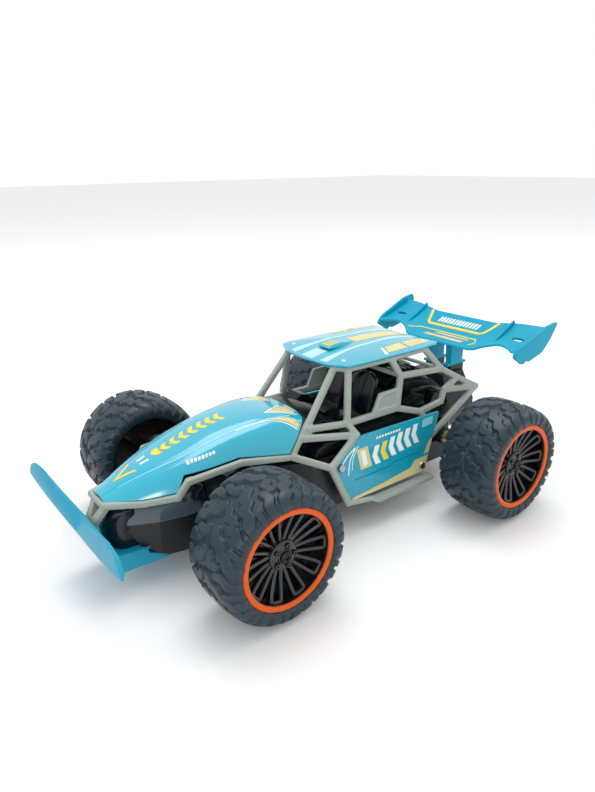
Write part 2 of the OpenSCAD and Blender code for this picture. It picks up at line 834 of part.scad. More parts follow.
module drive_motor() {
  color(steel) difference() {
    union() {
      y_rod(motor_x, motor_face, motor_face + 25, axle_z, 9.8);
      y_rod(motor_x, motor_face + 25, motor_face + 26.6, axle_z, 3.4);
    }
    y_rod(motor_x, motor_face - 1, motor_face + 7, axle_z, motor_shaft_r + running_gap);
  }
}

rear_axle_end = rear_y + hub_face + 0.3;

module rear_axle() {
  color(steel) difference() {
    y_rod(rear_x, -rear_axle_end, rear_axle_end, axle_z, axle_r);
    both_sides() y_rod(rear_x, rear_axle_end - 8, rear_axle_end + 1, axle_z, 1);
  }
}

// Wheels. A wheel's own axis is +Z, its outer side is up, its middle at 0.

module place_front() { translate([front_x, front_y, axle_z]) rotate([-90, 0, 0]) children(); }
module place_rear() { translate([rear_x, rear_y, axle_z]) rotate([-90, 0, 0]) children(); }

half_w = tyre_w / 2;
bead_r = bead_d / 2;
tyre_r = wheel_d / 2;
// Step in the sidewall that the trim ring sits in
ring_seat = 1.8;
tyre_profile = [
  [bead_r, ring_seat - half_w], [ring_d / 2 + 0.1, ring_seat - half_w], [bead_r + 2.2, -half_w + 0.4],
  [bead_r + 5.5, -half_w], [bead_r + 8.4, -half_w + 1.2],
  [tyre_r - 1, -half_w + 4.6], [tyre_r, -half_w + 9],
  [tyre_r, half_w - 9], [tyre_r - 1, half_w - 4.6],
  [bead_r + 8.4, half_w - 1.2], [bead_r + 5.5, half_w], [bead_r + 2.2, half_w - 0.4],
  [ring_d / 2 + 0.1, half_w - ring_seat], [bead_r, half_w - ring_seat],
];

module tyre() {
  color(rubber) rotate_extrude($fn = 96) polygon(tyre_profile);
}

barrel_out = 17;
barrel_in = -16.6;
barrel_wall = 1.8;
disc_z = 7.4;

module rim(bore_r) {
  color(black) difference() {
    union() {
      difference() {
        translate([0, 0, barrel_in]) cylinder(h = barrel_out - barrel_in, r = bead_r, $fn = 96);
        translate([0, 0, barrel_in - 1]) cylinder(h = 40, r = bead_r - barrel_wall, $fn = 96);
      }
      translate([0, 0, -hub_half]) cylinder(h = hub_half + hub_face, r = 5, $fn = 48);
      // Closed disc behind the spokes
      translate([0, 0, disc_z]) cylinder(h = 1.4, r = bead_r - 1, $fn = 96);
      // Flange that the spokes start from, and the spoke pairs
      translate([0, 0, 9.6]) cylinder(h = hub_face - 9.6, r = 7.8, $fn = 48);
      for (i = [0 : spoke_pairs - 1]) for (side = [-1, 1])
        rotate([0, 0, i * 360 / spoke_pairs]) translate([6.6, side * 1.65 - 0.6, 10.4])
          cube([bead_r - 7.5, 1.2, 2.6]);
    }
    translate([0, 0, -20]) cylinder(h = 40, r = bore_r, $fn = 48);
  }
}

module trim_ring() {
  color(orange) translate([0, 0, barrel_out]) difference() {
    cylinder(h = 1.1, r = ring_d / 2, $fn = 96);
    translate([0, 0, -1]) cylinder(h = 3, r = bead_r - barrel_wall, $fn = 96);
  }
}

module wheel_screw() {
  color(steel) {
    translate([0, 0, hub_face + 0.3]) cylinder(h = 1.8, r = 3.2, $fn = 48);
    translate([0, 0, hub_face - 6]) cylinder(h = 6.4, r = 1, $fn = 32);
  }
}

module tyre_front_left() { place_front() tyre(); }
module tyre_front_right() { mirror([0, 1, 0]) place_front() tyre(); }
module tyre_rear_left() { place_rear() tyre(); }
module tyre_rear_right() { mirror([0, 1, 0]) place_rear() tyre(); }
module rim_front_left() { place_front() rim(axle_r + running_gap); }
module rim_front_right() { mirror([0, 1, 0]) place_front() rim(axle_r + running_gap); }
module rim_rear_left() { place_rear() rim(axle_r); }
module rim_rear_right() { mirror([0, 1, 0]) place_rear() rim(axle_r); }
module trim_ring_front_left() { place_front() trim_ring(); }
module trim_ring_front_right() { mirror([0, 1, 0]) place_front() trim_ring(); }
module trim_rings_rear() { both_sides() place_rear() trim_ring(); }
module wheel_screw_front_left() { place_front() wheel_screw(); }
module wheel_screw_front_right() { mirror([0, 1, 0]) place_front() wheel_screw(); }
module wheel_screws_rear() { both_sides() place_rear() wheel_screw(); }

// Rear bodywork and wing

post_y = 8.6;
post_low = 70;

module rear_cover() {
  color(black) {
    hull() {
      box([-132, -22, 44], [-104, 22, 46]);
      box([-128, -14, 63], [-106, 14, 66]);
    }
    hull() {
      box([-132, -22, 40], [-104, 22, 44]);
      box([-118, -16, 26], [-104, 16, 28]);
    }
    both_sides() box([-131, 5.6, 65], [-117, 11.6, post_low]);
  }
}

module wing_posts() {
  color(blue) both_sides() {
    side_slab_at([[-118, post_low], [-130, post_low], [-131, 92], [-117, 85.9]], post_y - 2.6, post_y + 2.6);
    box([-134, post_y - 2.6, post_low], [-114, post_y + 2.6, post_low + 1.6]);
  }
}

// Wing: x, y and z of its front and rear edges at each station, left half
wing_stations = [
  [-114, 0, 86.6, -145, 100.2],
  [-114, 28, 86.6, -145, 100.2],
  [-117, 46, 90.4, -149, 102.2],
  [-118, 62, 91.4, -152, 102.2],
];
wing_t = 1.7;

module wing_rib(s) {
  slope = (s[4] - s[2]) / (s[3] - s[0]);
  translate([0, s[1], 0]) rotate([90, 0, 0]) linear_extrude(0.05)
    polygon([[s[0], s[2]], [s[3], s[4]], [s[3], s[4] - wing_t], [s[0] + wing_t * slope, s[2] - wing_t]]);
}

endplate = [
  [-114, 88], [-127, 81.6], [-148, 86.5], [-156, 95], [-158, 104], [-156, 106.3], [-142, 104], [-122, 99],
];

module rear_wing() {
  color(blue) {
    both_sides() {
      for (i = [0 : 2]) hull() {
        wing_rib(wing_stations[i]);
        wing_rib(wing_stations[i + 1]);
      }
      side_slab_at(endplate, 61.6, 64);
    }
  }
}

// Fasteners

module pan_screw(len) {
  cylinder(h = 1.4, r1 = 2.6, r2 = 2, $fn = 32);
  translate([0, 0, -len]) cylinder(h = len, r = screw_r, $fn = 32);
}

module body_screws() {
  color(steel) both_sides() translate(door_foot) rotate([door_lean, 0, 0])
    for (p = [[14.5, 24], [-52, 6]]) translate([p.x, 0, p.y]) rotate([-90, 0, 0]) pan_screw(2);
}

module chassis_screws() {
  color(steel) {
    for (s = tub_screws) both_sides()
      translate([s.x, s.y, ground_gap + head_depth]) mirror([0, 0, 1]) pan_screw(6);
    translate([door_screw_x, 0, ground_gap + head_depth]) mirror([0, 0, 1]) pan_screw(3);
    both_sides() translate([bumper_screw.x, bumper_screw.y, ground_gap - 2]) mirror([0, 0, 1]) pan_screw(4);
  }
}

chassis_tub();
cockpit_deck();
seats();
hood_shell();
hood_trim();
roof_panel();
door_panel_left();
door_panel_right();
roll_cage_left();
roll_cage_right();
cage_crossbars();
front_bumper();
steering_housing();
upper_arm_plate();
kingpins();
steering_motor();
battery_pack();
battery_door();
circuit_board();
wing_posts();
rear_wing();
rear_cover();
gearbox_case();
gearbox_cover();
axle_bushes();
idler_pin();
drive_motor();
body_screws();
chassis_screws();
power_switch();
trim_lever();
spring_seat_left();
spring_seat_right();
spring_left();
spring_right();
knuckle_left();
knuckle_right();
stub_axle_left();
stub_axle_right();
steering_rack();
steering_gear();
steering_pinion();
rear_axle();
axle_gear();
idler_gear();
motor_pinion();
tyre_front_left();
tyre_front_right();
tyre_rear_left();
tyre_rear_right();
rim_front_left();
rim_front_right();
rim_rear_left();
rim_rear_right();
trim_ring_front_left();
trim_ring_front_right();
trim_rings_rear();
wheel_screw_front_left();
wheel_screw_front_right();
wheel_screws_rear();
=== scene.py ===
"""Looks of a radio-controlled toy buggy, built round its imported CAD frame.

Lengths are millimetres in the frame's axes (+X nose, +Y left, +Z up) until a mesh is made.
"""

import math

import bmesh
import bpy
import numpy as np
from mathutils import Matrix, Vector
from mathutils.bvhtree import BVHTree


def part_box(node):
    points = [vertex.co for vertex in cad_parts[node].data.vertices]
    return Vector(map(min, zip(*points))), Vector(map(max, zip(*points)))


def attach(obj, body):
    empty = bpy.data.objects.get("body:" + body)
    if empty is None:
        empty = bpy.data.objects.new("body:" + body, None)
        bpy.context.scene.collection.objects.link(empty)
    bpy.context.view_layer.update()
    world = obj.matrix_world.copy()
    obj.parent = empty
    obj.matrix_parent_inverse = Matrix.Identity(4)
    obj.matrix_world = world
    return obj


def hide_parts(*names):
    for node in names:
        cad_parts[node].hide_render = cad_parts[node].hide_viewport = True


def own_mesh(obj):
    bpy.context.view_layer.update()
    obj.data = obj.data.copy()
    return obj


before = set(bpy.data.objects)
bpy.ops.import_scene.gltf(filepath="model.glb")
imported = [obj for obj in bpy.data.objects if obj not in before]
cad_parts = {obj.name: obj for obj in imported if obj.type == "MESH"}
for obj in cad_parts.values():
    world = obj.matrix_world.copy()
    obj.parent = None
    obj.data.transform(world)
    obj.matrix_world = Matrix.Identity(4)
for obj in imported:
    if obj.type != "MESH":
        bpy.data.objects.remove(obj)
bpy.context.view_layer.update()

MM = 0.001
SIDES = {"left": 1, "right": -1}
RAY_START = 0.3  # metres: decals are projected from outside the car
scene = bpy.context.scene
scene.view_settings.view_transform = "Standard"


# ---- helpers


def linear(rgb):
    """Colour given as 0-255 display values."""
    return tuple((c / 255 / 12.92) if c < 10 else ((c / 255 + 0.055) / 1.055) ** 2.4 for c in rgb) + (1,)


def centre_mm(node):
    """Middle of a node's box."""
    lo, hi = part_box(node)
    return (lo + hi) / 2 / MM


def build(name, verts, faces, material, smooth=True):
    """A linked object from points in millimetres."""
    mesh = bpy.data.meshes.new(name)
    mesh.from_pydata([tuple(c * MM for c in v) for v in verts], [], faces)
    mesh.validate()
    mesh.materials.append(material)
    obj = bpy.data.objects.new(name, mesh)
    scene.collection.objects.link(obj)
    bm = bmesh.new()
    bm.from_mesh(mesh)
    bmesh.ops.recalc_face_normals(bm, faces=bm.faces)
    for f in bm.faces:
        f.smooth = smooth
    bm.to_mesh(mesh)
    bm.free()
    return obj


def join_parts(parts):
    """Several (verts, faces) lists as one."""
    verts, faces = [], []
    for v, f in parts:
        base = len(verts)
        verts += [tuple(p) for p in v]
        faces += [tuple(i + base for i in face) for face in f]
    return verts, faces


def moved(part, matrix):
    """The (verts, faces) of a part, moved by a matrix."""
    return [tuple(matrix @ Vector(v)) for v in part[0]], part[1]


def loft(rings, close=False):
    """Skins closed rings of equal length, with caps unless the last ring joins the first."""
    n = len(rings[0])
    verts = [tuple(p) for ring in rings for p in ring]
    spans = len(rings) if close else len(rings) - 1
    faces = []
    for k in range(spans):
        a, b = k * n, ((k + 1) % len(rings)) * n
        faces += [(a + j, a + (j + 1) % n, b + (j + 1) % n, b + j) for j in range(n)]
    if not close:
        faces += [tuple(range(n - 1, -1, -1)), tuple(range((len(rings) - 1) * n, len(rings) * n))]
    return verts, faces


def slab(points, y0, y1):
    """Side outline (x, z) given a width along Y."""
    return loft([[(x, y0, z) for x, z in points], [(x, y1, z) for x, z in points]])


def side_slab(points, sign, near, far):
    """Slab on one side of the car, between two distances from its middle plane."""
    return slab(points, *sorted((sign * near, sign * far)))


def block(low, high):
    """Box between two opposite corners."""
    (x0, y0, z0), (x1, y1, z1) = low, high
    return loft([[(x0, y0, z), (x1, y0, z), (x1, y1, z), (x0, y1, z)] for z in (z0, z1)])


def revolve(profile, steps=96):
    """Closed outline of (r, z) turned about Z."""
    rings = []
    for k in range(steps):
        c, s = math.cos(math.tau * k / steps), math.sin(math.tau * k / steps)
        rings.append([(r * c, r * s, z) for r, z in profile])
    return loft(rings, close=True)


def rounded(width, depth, radius, per_corner=3):
    """Outline of a rounded rectangle about 0, 0."""
    points = []
    for i, (sx, sy) in enumerate([(1, 1), (-1, 1), (-1, -1), (1, -1)]):
        for k in range(per_corner):
            a = math.pi / 2 * (i + k / (per_corner - 1))
            points.append((sx * (width / 2 - radius) + radius * math.cos(a),
                           sy * (depth / 2 - radius) + radius * math.sin(a)))
    return points


def sweep(path, section):
    """Carries a section (side, up) along a path."""
    path = [Vector(p) for p in path]
    rings = []
    for i, p in enumerate(path):
        t = (path[min(i + 1, len(path) - 1)] - path[max(i - 1, 0)]).normalized()
        side = t.cross(Vector((0, 0, 1))).normalized()
        top = side.cross(t).normalized()
        rings.append([tuple(p + side * a + top * b) for a, b in section])
    return loft(rings)


def curve_through(points, per_span=8):
    """Catmull-Rom curve through points of any dimension."""
    p = [np.array(q, float) for q in points]
    p = [2 * p[0] - p[1]] + p + [2 * p[-1] - p[-2]]
    out = []
    for i in range(1, len(p) - 2):
        for k in range(per_span):
            t = k / per_span
            out.append(0.5 * (2 * p[i] + (p[i + 1] - p[i - 1]) * t
                              + (2 * p[i - 1] - 5 * p[i] + 4 * p[i + 1] - p[i + 2]) * t * t
                              + (3 * p[i] - p[i - 1] - 3 * p[i + 1] + p[i + 2]) * t ** 3))
    return [tuple(q) for q in out + [p[-2]]]


def smooth_outline(points, radius, per_corner=5):
    """A closed outline with its corners rounded."""
    out = []
    n = len(points)
    for i in range(n):
        a, b, c = (Vector(points[(i + k) % n]) for k in (-1, 0, 1))
        reach = min(radius, (a - b).length * 0.45, (c - b).length * 0.45)
        p, q = b + (a - b).normalized() * reach, b + (c - b).normalized() * reach
        for k in range(per_corner):
            t = k / (per_corner - 1)
            out.append(tuple(p * (1 - t) ** 2 + b * 2 * t * (1 - t) + q * t * t))
    return out


def bake_modifiers(obj):
    """Turns an object's modifiers into its mesh."""
    mesh = bpy.data.meshes.new_from_object(obj.evaluated_get(bpy.context.evaluated_depsgraph_get()))
    obj.modifiers.clear()
    obj.data = mesh
    return obj


def bevel(obj, width, segments=3, angle=30):
    """Rounded edges with flat faces kept flat."""
    edges = obj.modifiers.new("edges", "BEVEL")
    edges.width, edges.segments = width * MM, segments
    edges.limit_method, edges.angle_limit = "ANGLE", math.radians(angle)
    edges.use_clamp_overlap = True
    obj.modifiers.new("normals", "WEIGHTED_NORMAL").keep_sharp = True
    return bake_modifiers(obj)


def thicken(obj, thickness, offset=-1, even=True):
    """Turns a skin into a wall, inwards unless offset is 1."""
    wall = obj.modifiers.new("thickness", "SOLIDIFY")
    wall.thickness, wall.offset, wall.use_even_offset = thickness * MM, offset, even
    return bake_modifiers(obj)


def fuse(obj, voxel):
    """Melts crossing bars into one moulding with soft joints."""
    melt = obj.modifiers.new("fuse", "REMESH")
    melt.mode, melt.voxel_size, melt.use_smooth_shade = "VOXEL", voxel * MM, True
    soften = obj.modifiers.new("soften", "SMOOTH")
    soften.factor, soften.iterations = 0.5, 4
    return bake_modifiers(obj)


def face_up(obj):
    """Flips the faces of an open skin whose normals point down."""
    if sum(p.normal.z * p.area for p in obj.data.polygons) < 0:
        obj.data.flip_normals()
    return obj


def cut(obj, cutters):
    """Boolean with throw-away cutters given as (verts, faces)."""
    tools = []
    for i, (verts, faces) in enumerate(cutters):
        tools.append(build(f"cutter_{i}", verts, faces, obj.data.materials[0], smooth=False))
        hole = obj.modifiers.new("cut", "BOOLEAN")
        hole.operation, hole.object, hole.solver = "DIFFERENCE", tools[-1], "EXACT"
    bake_modifiers(obj)
    for tool in tools:
        bpy.data.objects.remove(tool)
    return obj


def mount(obj, body, slot, *nodes):
    """Ties an object to its body, in place of the CAD nodes that it shows; the slot is not used."""
    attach(obj, body)
    if nodes:
        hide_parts(*nodes)


def mirror_y(parts):
    """The parts on the other side of the car."""
    return [([(x, -y, z) for x, y, z in v], [tuple(reversed(f)) for f in fs]) for v, fs in parts]


def decal(name, outlines, target, material, from_side=0, lift=0.06, step=2):
    """Printed film laid on a chassis panel. Outlines are (x, y) from above, or (x, z) from side +-1."""
    bm = bmesh.new()
    for outline in outlines:
        bm.faces.new([bm.verts.new((a, b, 0)) for a, b in outline])
    bmesh.ops.triangulate(bm, faces=bm.faces)
    for axis in (0, 1):
        values = [v.co[axis] for v in bm.verts]
        at = math.floor(min(values) / step) * step + step
        while at < max(values):
            plane = Vector((axis == 0, axis == 1, 0))
            geometry = bm.verts[:] + bm.edges[:] + bm.faces[:]
            bmesh.ops.bisect_plane(bm, geom=geometry, plane_co=plane * at, plane_no=plane)
            at += step
    tree = BVHTree.FromObject(target, bpy.context.evaluated_depsgraph_get())
    aim = Vector((0, -from_side, 0)) if from_side else Vector((0, 0, -1))
    # Where a ray misses, the nearest point is looked for this far from the middle plane or the ground
    depth = 0.04 if from_side else sum(corner[2] for corner in target.bound_box) / 8
    for v in bm.verts:
        a, b = v.co.x * MM, v.co.y * MM
        start = Vector((a, from_side * RAY_START, b)) if from_side else Vector((a, b, RAY_START))
        hit, normal = tree.ray_cast(start, aim)[:2]
        if hit is None:
            hit, normal = tree.find_nearest(start + aim * (RAY_START - depth))[:2]
        if normal.dot(aim) > 0:
            normal = -normal
        v.co = (hit + normal * lift * MM) / MM
    verts = [tuple(v.co) for v in bm.verts]
    bm.verts.index_update()
    faces = [tuple(v.index for v in f.verts) for f in bm.faces]
    bm.free()
    obj = build(name, verts, faces, material)
    up = sum((Vector(p.normal) * p.area for p in obj.data.polygons), Vector())
    if up.dot(aim) > 0:
        obj.data.flip_normals()
    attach(thicken(obj, 0.05, offset=1, even=False), "chassis")


# ---- materials


def plastic(name, rgb, rough=0.4, tone=0.05, patch=40, grain=1100, bump=0.25, coat=0, metal=0,
            worn=0, spec=0.5):
    """Plastic, paint, rubber or metal: slow colour drift, fine grain, and edges worn pale."""
    material = bpy.data.materials.new(name)
    material.use_nodes = True
    nodes, links = material.node_tree.nodes, material.node_tree.links
    shader = nodes["Principled BSDF"]
    for socket, value in (("Metallic", metal), ("Specular IOR Level", spec), ("Coat Weight", coat),
                          ("Coat Roughness", 0.12)):
        shader.inputs[socket].default_value = value
    where = nodes.new("ShaderNodeTexCoord").outputs["Object"]

    def noise(scale, detail=3):
        n = nodes.new("ShaderNodeTexNoise")
        n.inputs["Scale"].default_value = scale
        n.inputs["Detail"].default_value = detail
        links.new(where, n.inputs["Vector"])
        return n.outputs["Fac"]

    def blend(factor, a, b):
        n = nodes.new("ShaderNodeMix")
        n.data_type = "RGBA"
        for i, c in ((6, a), (7, b)):
            if isinstance(c, tuple):
                n.inputs[i].default_value = c
            else:
                links.new(c, n.inputs[i])
        links.new(factor, n.inputs[0])
        return n.outputs[2]

    def span(value, a, b, c, d):
        n = nodes.new("ShaderNodeMapRange")
        for i, x in enumerate((a, b, c, d), start=1):
            n.inputs[i].default_value = x
        links.new(value, n.inputs[0])
        return n.outputs[0]

    base = linear(rgb)
    dark = tuple(c * (1 - tone) for c in base[:3]) + (1,)
    light = tuple(min(1, c * (1 + tone) + tone * 0.01) for c in base[:3]) + (1,)
    colour = blend(span(noise(patch), 0.3, 0.7, 0, 1), dark, light)
    if worn:
        pale = tuple(min(1, c * 1.7 + 0.05) for c in base[:3]) + (1,)
        edge = span(nodes.new("ShaderNodeNewGeometry").outputs["Pointiness"], 0.51, 0.6, 0, worn)
        colour = blend(edge, colour, pale)
    links.new(colour, shader.inputs["Base Color"])
    fine = noise(grain, 4)
    smear = noise(patch * 3, 2)
    gloss = nodes.new("ShaderNodeMath")
    gloss.operation = "ADD"
    links.new(span(fine, 0.3, 0.7, -0.12 * rough, 0.12 * rough), gloss.inputs[0])
    links.new(span(smear, 0.3, 0.7, rough - 0.04, rough + 0.05), gloss.inputs[1])
    links.new(gloss.outputs[0], shader.inputs["Roughness"])
    relief = nodes.new("ShaderNodeBump")
    relief.inputs["Strength"].default_value = bump
    relief.inputs["Distance"].default_value = 0.05 * MM
    links.new(fine, relief.inputs["Height"])
    links.new(relief.outputs["Normal"], shader.inputs["Normal"])
    return material


def film(name, rgb, tone, patch=60):
    """Print on a panel."""
    return plastic(name, rgb, rough=0.32, tone=tone, patch=patch, bump=0.1)


gloss_blue = plastic("gloss_blue", (20, 164, 190), rough=0.17, tone=0.03, patch=14, bump=0, coat=0.7)
door_blue = plastic("door_blue", (18, 150, 176), rough=0.28, tone=0.035, patch=18, bump=0.04, coat=0.4)
matte_blue = plastic("matte_blue", (8, 142, 172), rough=0.42, tone=0.04, patch=20, bump=0.3, worn=0.25,
                     spec=0.4)
wing_blue = plastic("wing_blue", (0, 150, 180), tone=0.04, patch=20, bump=0.2, worn=0.2, spec=0.15)
cage_grey = plastic("cage_grey", (150, 161, 152), rough=0.5, tone=0.04, patch=60, bump=0.35, worn=0.15)
shell_black = plastic("shell_black", (14, 18, 22), rough=0.34, tone=0.15, bump=0.4, worn=0.12, spec=0.35)
gloss_black = plastic("gloss_black", (5, 8, 11), rough=0.2, tone=0.1, bump=0.05, worn=0.1, spec=0.24)
# The lid's base colour is lifted to a pale blue-grey as painted sheen, the sky's reflection on its sloped
# facets, over satin black plastic
satin_black_painted_sheen = plastic("satin_black_painted_sheen", (66, 80, 88), rough=0.3, tone=0.04, patch=20, bump=0.03, coat=0.3)
navy_black = plastic("navy_black", (10, 20, 32), rough=0.25, tone=0.1, bump=0.04, coat=0.2, worn=0.1,
                     spec=0.4)
rim_black = plastic("rim_black", (12, 14, 17), rough=0.2, tone=0.1, bump=0.05, coat=0.3, worn=0.15)
seat_black = plastic("seat_black", (4, 14, 27), rough=0.17, tone=0.1, grain=800, bump=0.03, coat=0.05,
                     worn=0.1, spec=0.26)
rubber = plastic("rubber", (20, 42, 53), rough=0.38, tone=0.12, patch=70, grain=1500, worn=0.2, spec=0.45)
ring_orange = plastic("ring_orange", (206, 84, 8), bump=0.15, spec=0.3)
steel = plastic("steel", (176, 178, 180), rough=0.3, tone=0.08, metal=1, bump=0.2)
dark_steel = plastic("dark_steel", (52, 52, 54), rough=0.35, tone=0.1, metal=1, bump=0.2)
brass = plastic("brass", (196, 160, 88), rough=0.3, tone=0.08, metal=1, bump=0.2)
nylon = plastic("nylon", (226, 222, 208), rough=0.45, tone=0.04, bump=0.2)
board_green = plastic("board_green", (38, 98, 62), tone=0.15, patch=200, bump=0.2)
cell_blue = plastic("cell_blue", (50, 96, 168), rough=0.3, bump=0.1)
control_orange = plastic("control_orange", (220, 98, 40))
print_white = film("print_white", (226, 238, 232), 0.03)
print_ice = film("print_ice", (168, 218, 230), 0.06)
print_cream = film("print_cream", (206, 197, 140), 0.06, patch=50)
print_yellow = film("print_yellow", (226, 206, 74), 0.05)
print_sky = film("print_sky", (140, 208, 228), 0.04)

# CAD parts that are shown as they are, by the material they get
CAD_FINISH = {
    shell_black: ["chassis_tub", "cockpit_deck", "steering_housing", "upper_arm_plate", "knuckle",
                  "spring_seat", "battery_door", "gearbox_case", "gearbox_cover", "rear_cover"],
    steel: ["kingpins", "stub_axle", "rear_axle", "idler_pin", "chassis_screws", "body_screws",
            "drive_motor", "steering_motor"],
    nylon: ["steering_rack", "steering_gear", "idler_gear", "axle_gear"],
    brass: ["motor_pinion", "steering_pinion", "axle_bushes"],
    board_green: ["circuit_board"],
    cell_blue: ["battery_pack"],
    control_orange: ["power_switch", "trim_lever"],
    wing_blue: ["wing_posts"],
    cage_grey: ["cage_crossbars"],
}
for material, names in CAD_FINISH.items():
    for node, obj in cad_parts.items():
        if node.removesuffix("_left").removesuffix("_right") in names:
            obj.data.materials.clear()
            obj.data.materials.append(material)

# ---- wheels

BEAD_R = 25
TREAD_R = 34.6  # where the tread pattern is measured
BARREL_IN = -16.6
PITCHES = 10  # tread blocks round the tyre
COLUMNS = 52  # mesh columns in a pitch
ROWS = 112  # mesh rows across the tyre
SPOKES = 10
NUTS = 5


def tread(p, w, centre_seam):
    """Height of the moulded tread, p mm along the surface and w mm across it."""
    pitch = math.tau * TREAD_R / PITCHES
    # Lugs of one half: half width, and a line along the middle of each
    strokes = [
        (2.7, [(1, 2.2), (4.6, 4), (5, 8), (9.4, 10.4), (9.8, 14.2), (13.4, 16.6), (14.2, 21.4)]),
        (2.3, [(12.4, 2.9), (15.4, 4.6), (14.8, 8.6)]),
        (2.4, [(19.2, 9.4), (18.6, 13), (21.6, 16.2), (22.2, 20.6)]),
        (1.7, [(5.6, 14.6), (6.6, 20.8)]),
    ]
    height = np.zeros_like(p)
    for mirrored in (False, True):
        across = -w if mirrored else w
        along = (p + pitch / 2 if mirrored else p) % pitch
        for half, line in strokes:
            near = np.full_like(p, 99)
            for (p0, w0), (p1, w1) in zip(line, line[1:]):
                for turn in (-pitch, 0, pitch):
                    dp, dw = p1 - p0, w1 - w0
                    a, b = along - p0 - turn, across - w0
                    t = np.clip((a * dp + b * dw) / (dp * dp + dw * dw), 0, 1)
                    near = np.minimum(near, np.hypot(a - t * dp, b - t * dw))
            edge = np.clip((half + 0.2 - near) / 0.55, 0, 1)
            height = np.maximum(height, edge * edge * (3 - 2 * edge))
    height *= np.interp(np.abs(w), [0, 13, 17, 22], [1.75, 1.7, 1.5, 0.6])
    # Ribs of the sidewall and the parting line of the mould
    for at in (22.2, 23.4):
        height += 0.22 * np.exp(-(((np.abs(w) - at) / 0.3) ** 2))
    if centre_seam:
        height = np.maximum(height, 0.75 * np.exp(-((w / 0.42) ** 2)))
    return height


def tyre_mesh(centre_seam):
    """Tyre about Z: a smooth half section, mirrored, turned and raised by its tread."""
    half = [(BEAD_R, 16.9), (26.55, 16.95), (26.75, 18.1), (28.6, 18.6), (31, 17.9), (32.8, 15.4),
            (33.7, 11.6), (34.15, 6.5), (34.25, 0)]
    edge = half[:2] + curve_through(half[2:], 10)
    side = np.array([(r, -z) for r, z in edge] + [(r, z) for r, z in reversed(edge[:-1])])
    run = np.concatenate([[0], np.cumsum(np.hypot(*np.diff(side, axis=0).T))])
    s = np.linspace(0, run[-1], ROWS)
    r, z = np.interp(s, run, side[:, 0]), np.interp(s, run, side[:, 1])
    nr, nz = np.gradient(z, s), -np.gradient(r, s)
    length = np.hypot(nr, nz)
    angle = np.arange(PITCHES * COLUMNS) * math.tau / (PITCHES * COLUMNS)
    grid_a, grid_w = np.meshgrid(angle, s - run[-1] / 2, indexing="ij")
    h = tread(grid_a * TREAD_R, grid_w, centre_seam)
    radius, height = r + h * nr / length, z + h * nz / length
    points = np.stack([radius * np.cos(grid_a), radius * np.sin(grid_a), height], -1)
    return loft([list(map(tuple, ring)) for ring in points], close=True)


def spoke_loop(i):
    """Twin spoke: one bar that runs out, turns under the ring and comes back."""
    bend = [(21.4, 3), (22.6, 2.6), (22.9, 0), (22.6, -2.6), (21.4, -3)]
    line = [(6, 1.35), (10, 1.75), (16, 2.5)] + bend + [(16, -2.5), (10, -1.75), (6, -1.35)]
    path = [(a, b, 10.6 + 4.4 * (max(a - 6, 0) / 16.9) ** 1.4) for a, b in curve_through(line, 4)]
    section = [(-1.15, -1.6), (1.15, -1.6), (1.12, 0.2), (0.85, 0.75), (0.35, 1), (-0.35, 1),
               (-0.85, 0.75), (-1.12, 0.2)]
    return moved(sweep(path, section), Matrix.Rotation(math.tau * i / SPOKES, 3, "Z"))


def rim_parts():
    """Rim about Z, its face towards +Z."""
    parts = [revolve([
        (BEAD_R - 0.1, BARREL_IN), (BEAD_R - 0.1, 16.8), (26.5, 16.9), (26.95, 17.2), (26.9, 17.9),
        (26.35, 18), (26.3, 17), (23.3, 17), (23, 16.2), (23.2, 12), (22.6, 8), (21.6, 4),
        (21.6, -6), (22.8, -10), (23.3, -15.2), (24.2, BARREL_IN),
    ])]
    parts += [spoke_loop(i) for i in range(SPOKES)]
    # Hub with its raised collar, then its nuts
    parts.append(revolve([(2.2, 9), (7.4, 9.4), (7.9, 10.4), (7.7, 12.2), (6.9, 12.9), (4.1, 13.1),
                          (3.7, 13.9), (2.2, 13.9)], 60))
    parts.append(revolve([(2.2, -9), (5, -9), (5, 9.5), (2.2, 9.5)], 48))
    nut = revolve([(0.5, 12.4), (1.35, 12.4), (1.35, 13.9), (1.05, 14.3), (0.6, 14.3), (0.5, 13.6)], 18)
    for k in range(NUTS):
        a = math.tau * (k + 0.5) / NUTS
        parts.append(moved(nut, Matrix.Translation((5.6 * math.cos(a), 5.6 * math.sin(a), 0))))
    # Closed disc behind the spokes, and ribs behind it
    parts.append(revolve([(2.2, 7.2), (23.4, 6.6), (23.4, 8), (9, 8.6), (2.2, 8.6)]))
    rib = block((4.4, -0.6, -7.5), (6.6, 0.6, 9.6))
    parts += [moved(rib, Matrix.Rotation(math.tau * k / NUTS, 3, "Z")) for k in range(NUTS)]
    return join_parts(parts)


def screw_parts():
    """Pan-head screw with a cross recess."""
    head = curve_through([(3.2, 13.9), (3.2, 14.5), (2.7, 15.3), (1.6, 15.65)], 4)
    profile = [(0.9, 9), (0.9, 13.9)] + head + [(0.02, 15.7), (0.02, 9)]
    return revolve(profile, 40)


tyre_parts = {"front": tyre_mesh(False), "rear": tyre_mesh(True)}
rim_shape, screw_shape = rim_parts(), screw_parts()
ring_shape = revolve([(23.25, 17.05), (26.25, 17.05), (26.3, 17.6), (26.1, 18), (25.6, 18.25),
                      (24, 18.15), (23.45, 17.9), (23.2, 17.5)], 128)
cross = [block((-1.7, -0.3, 14.9), (1.7, 0.3, 17)), block((-0.3, -1.7, 14.9), (0.3, 1.7, 17))]

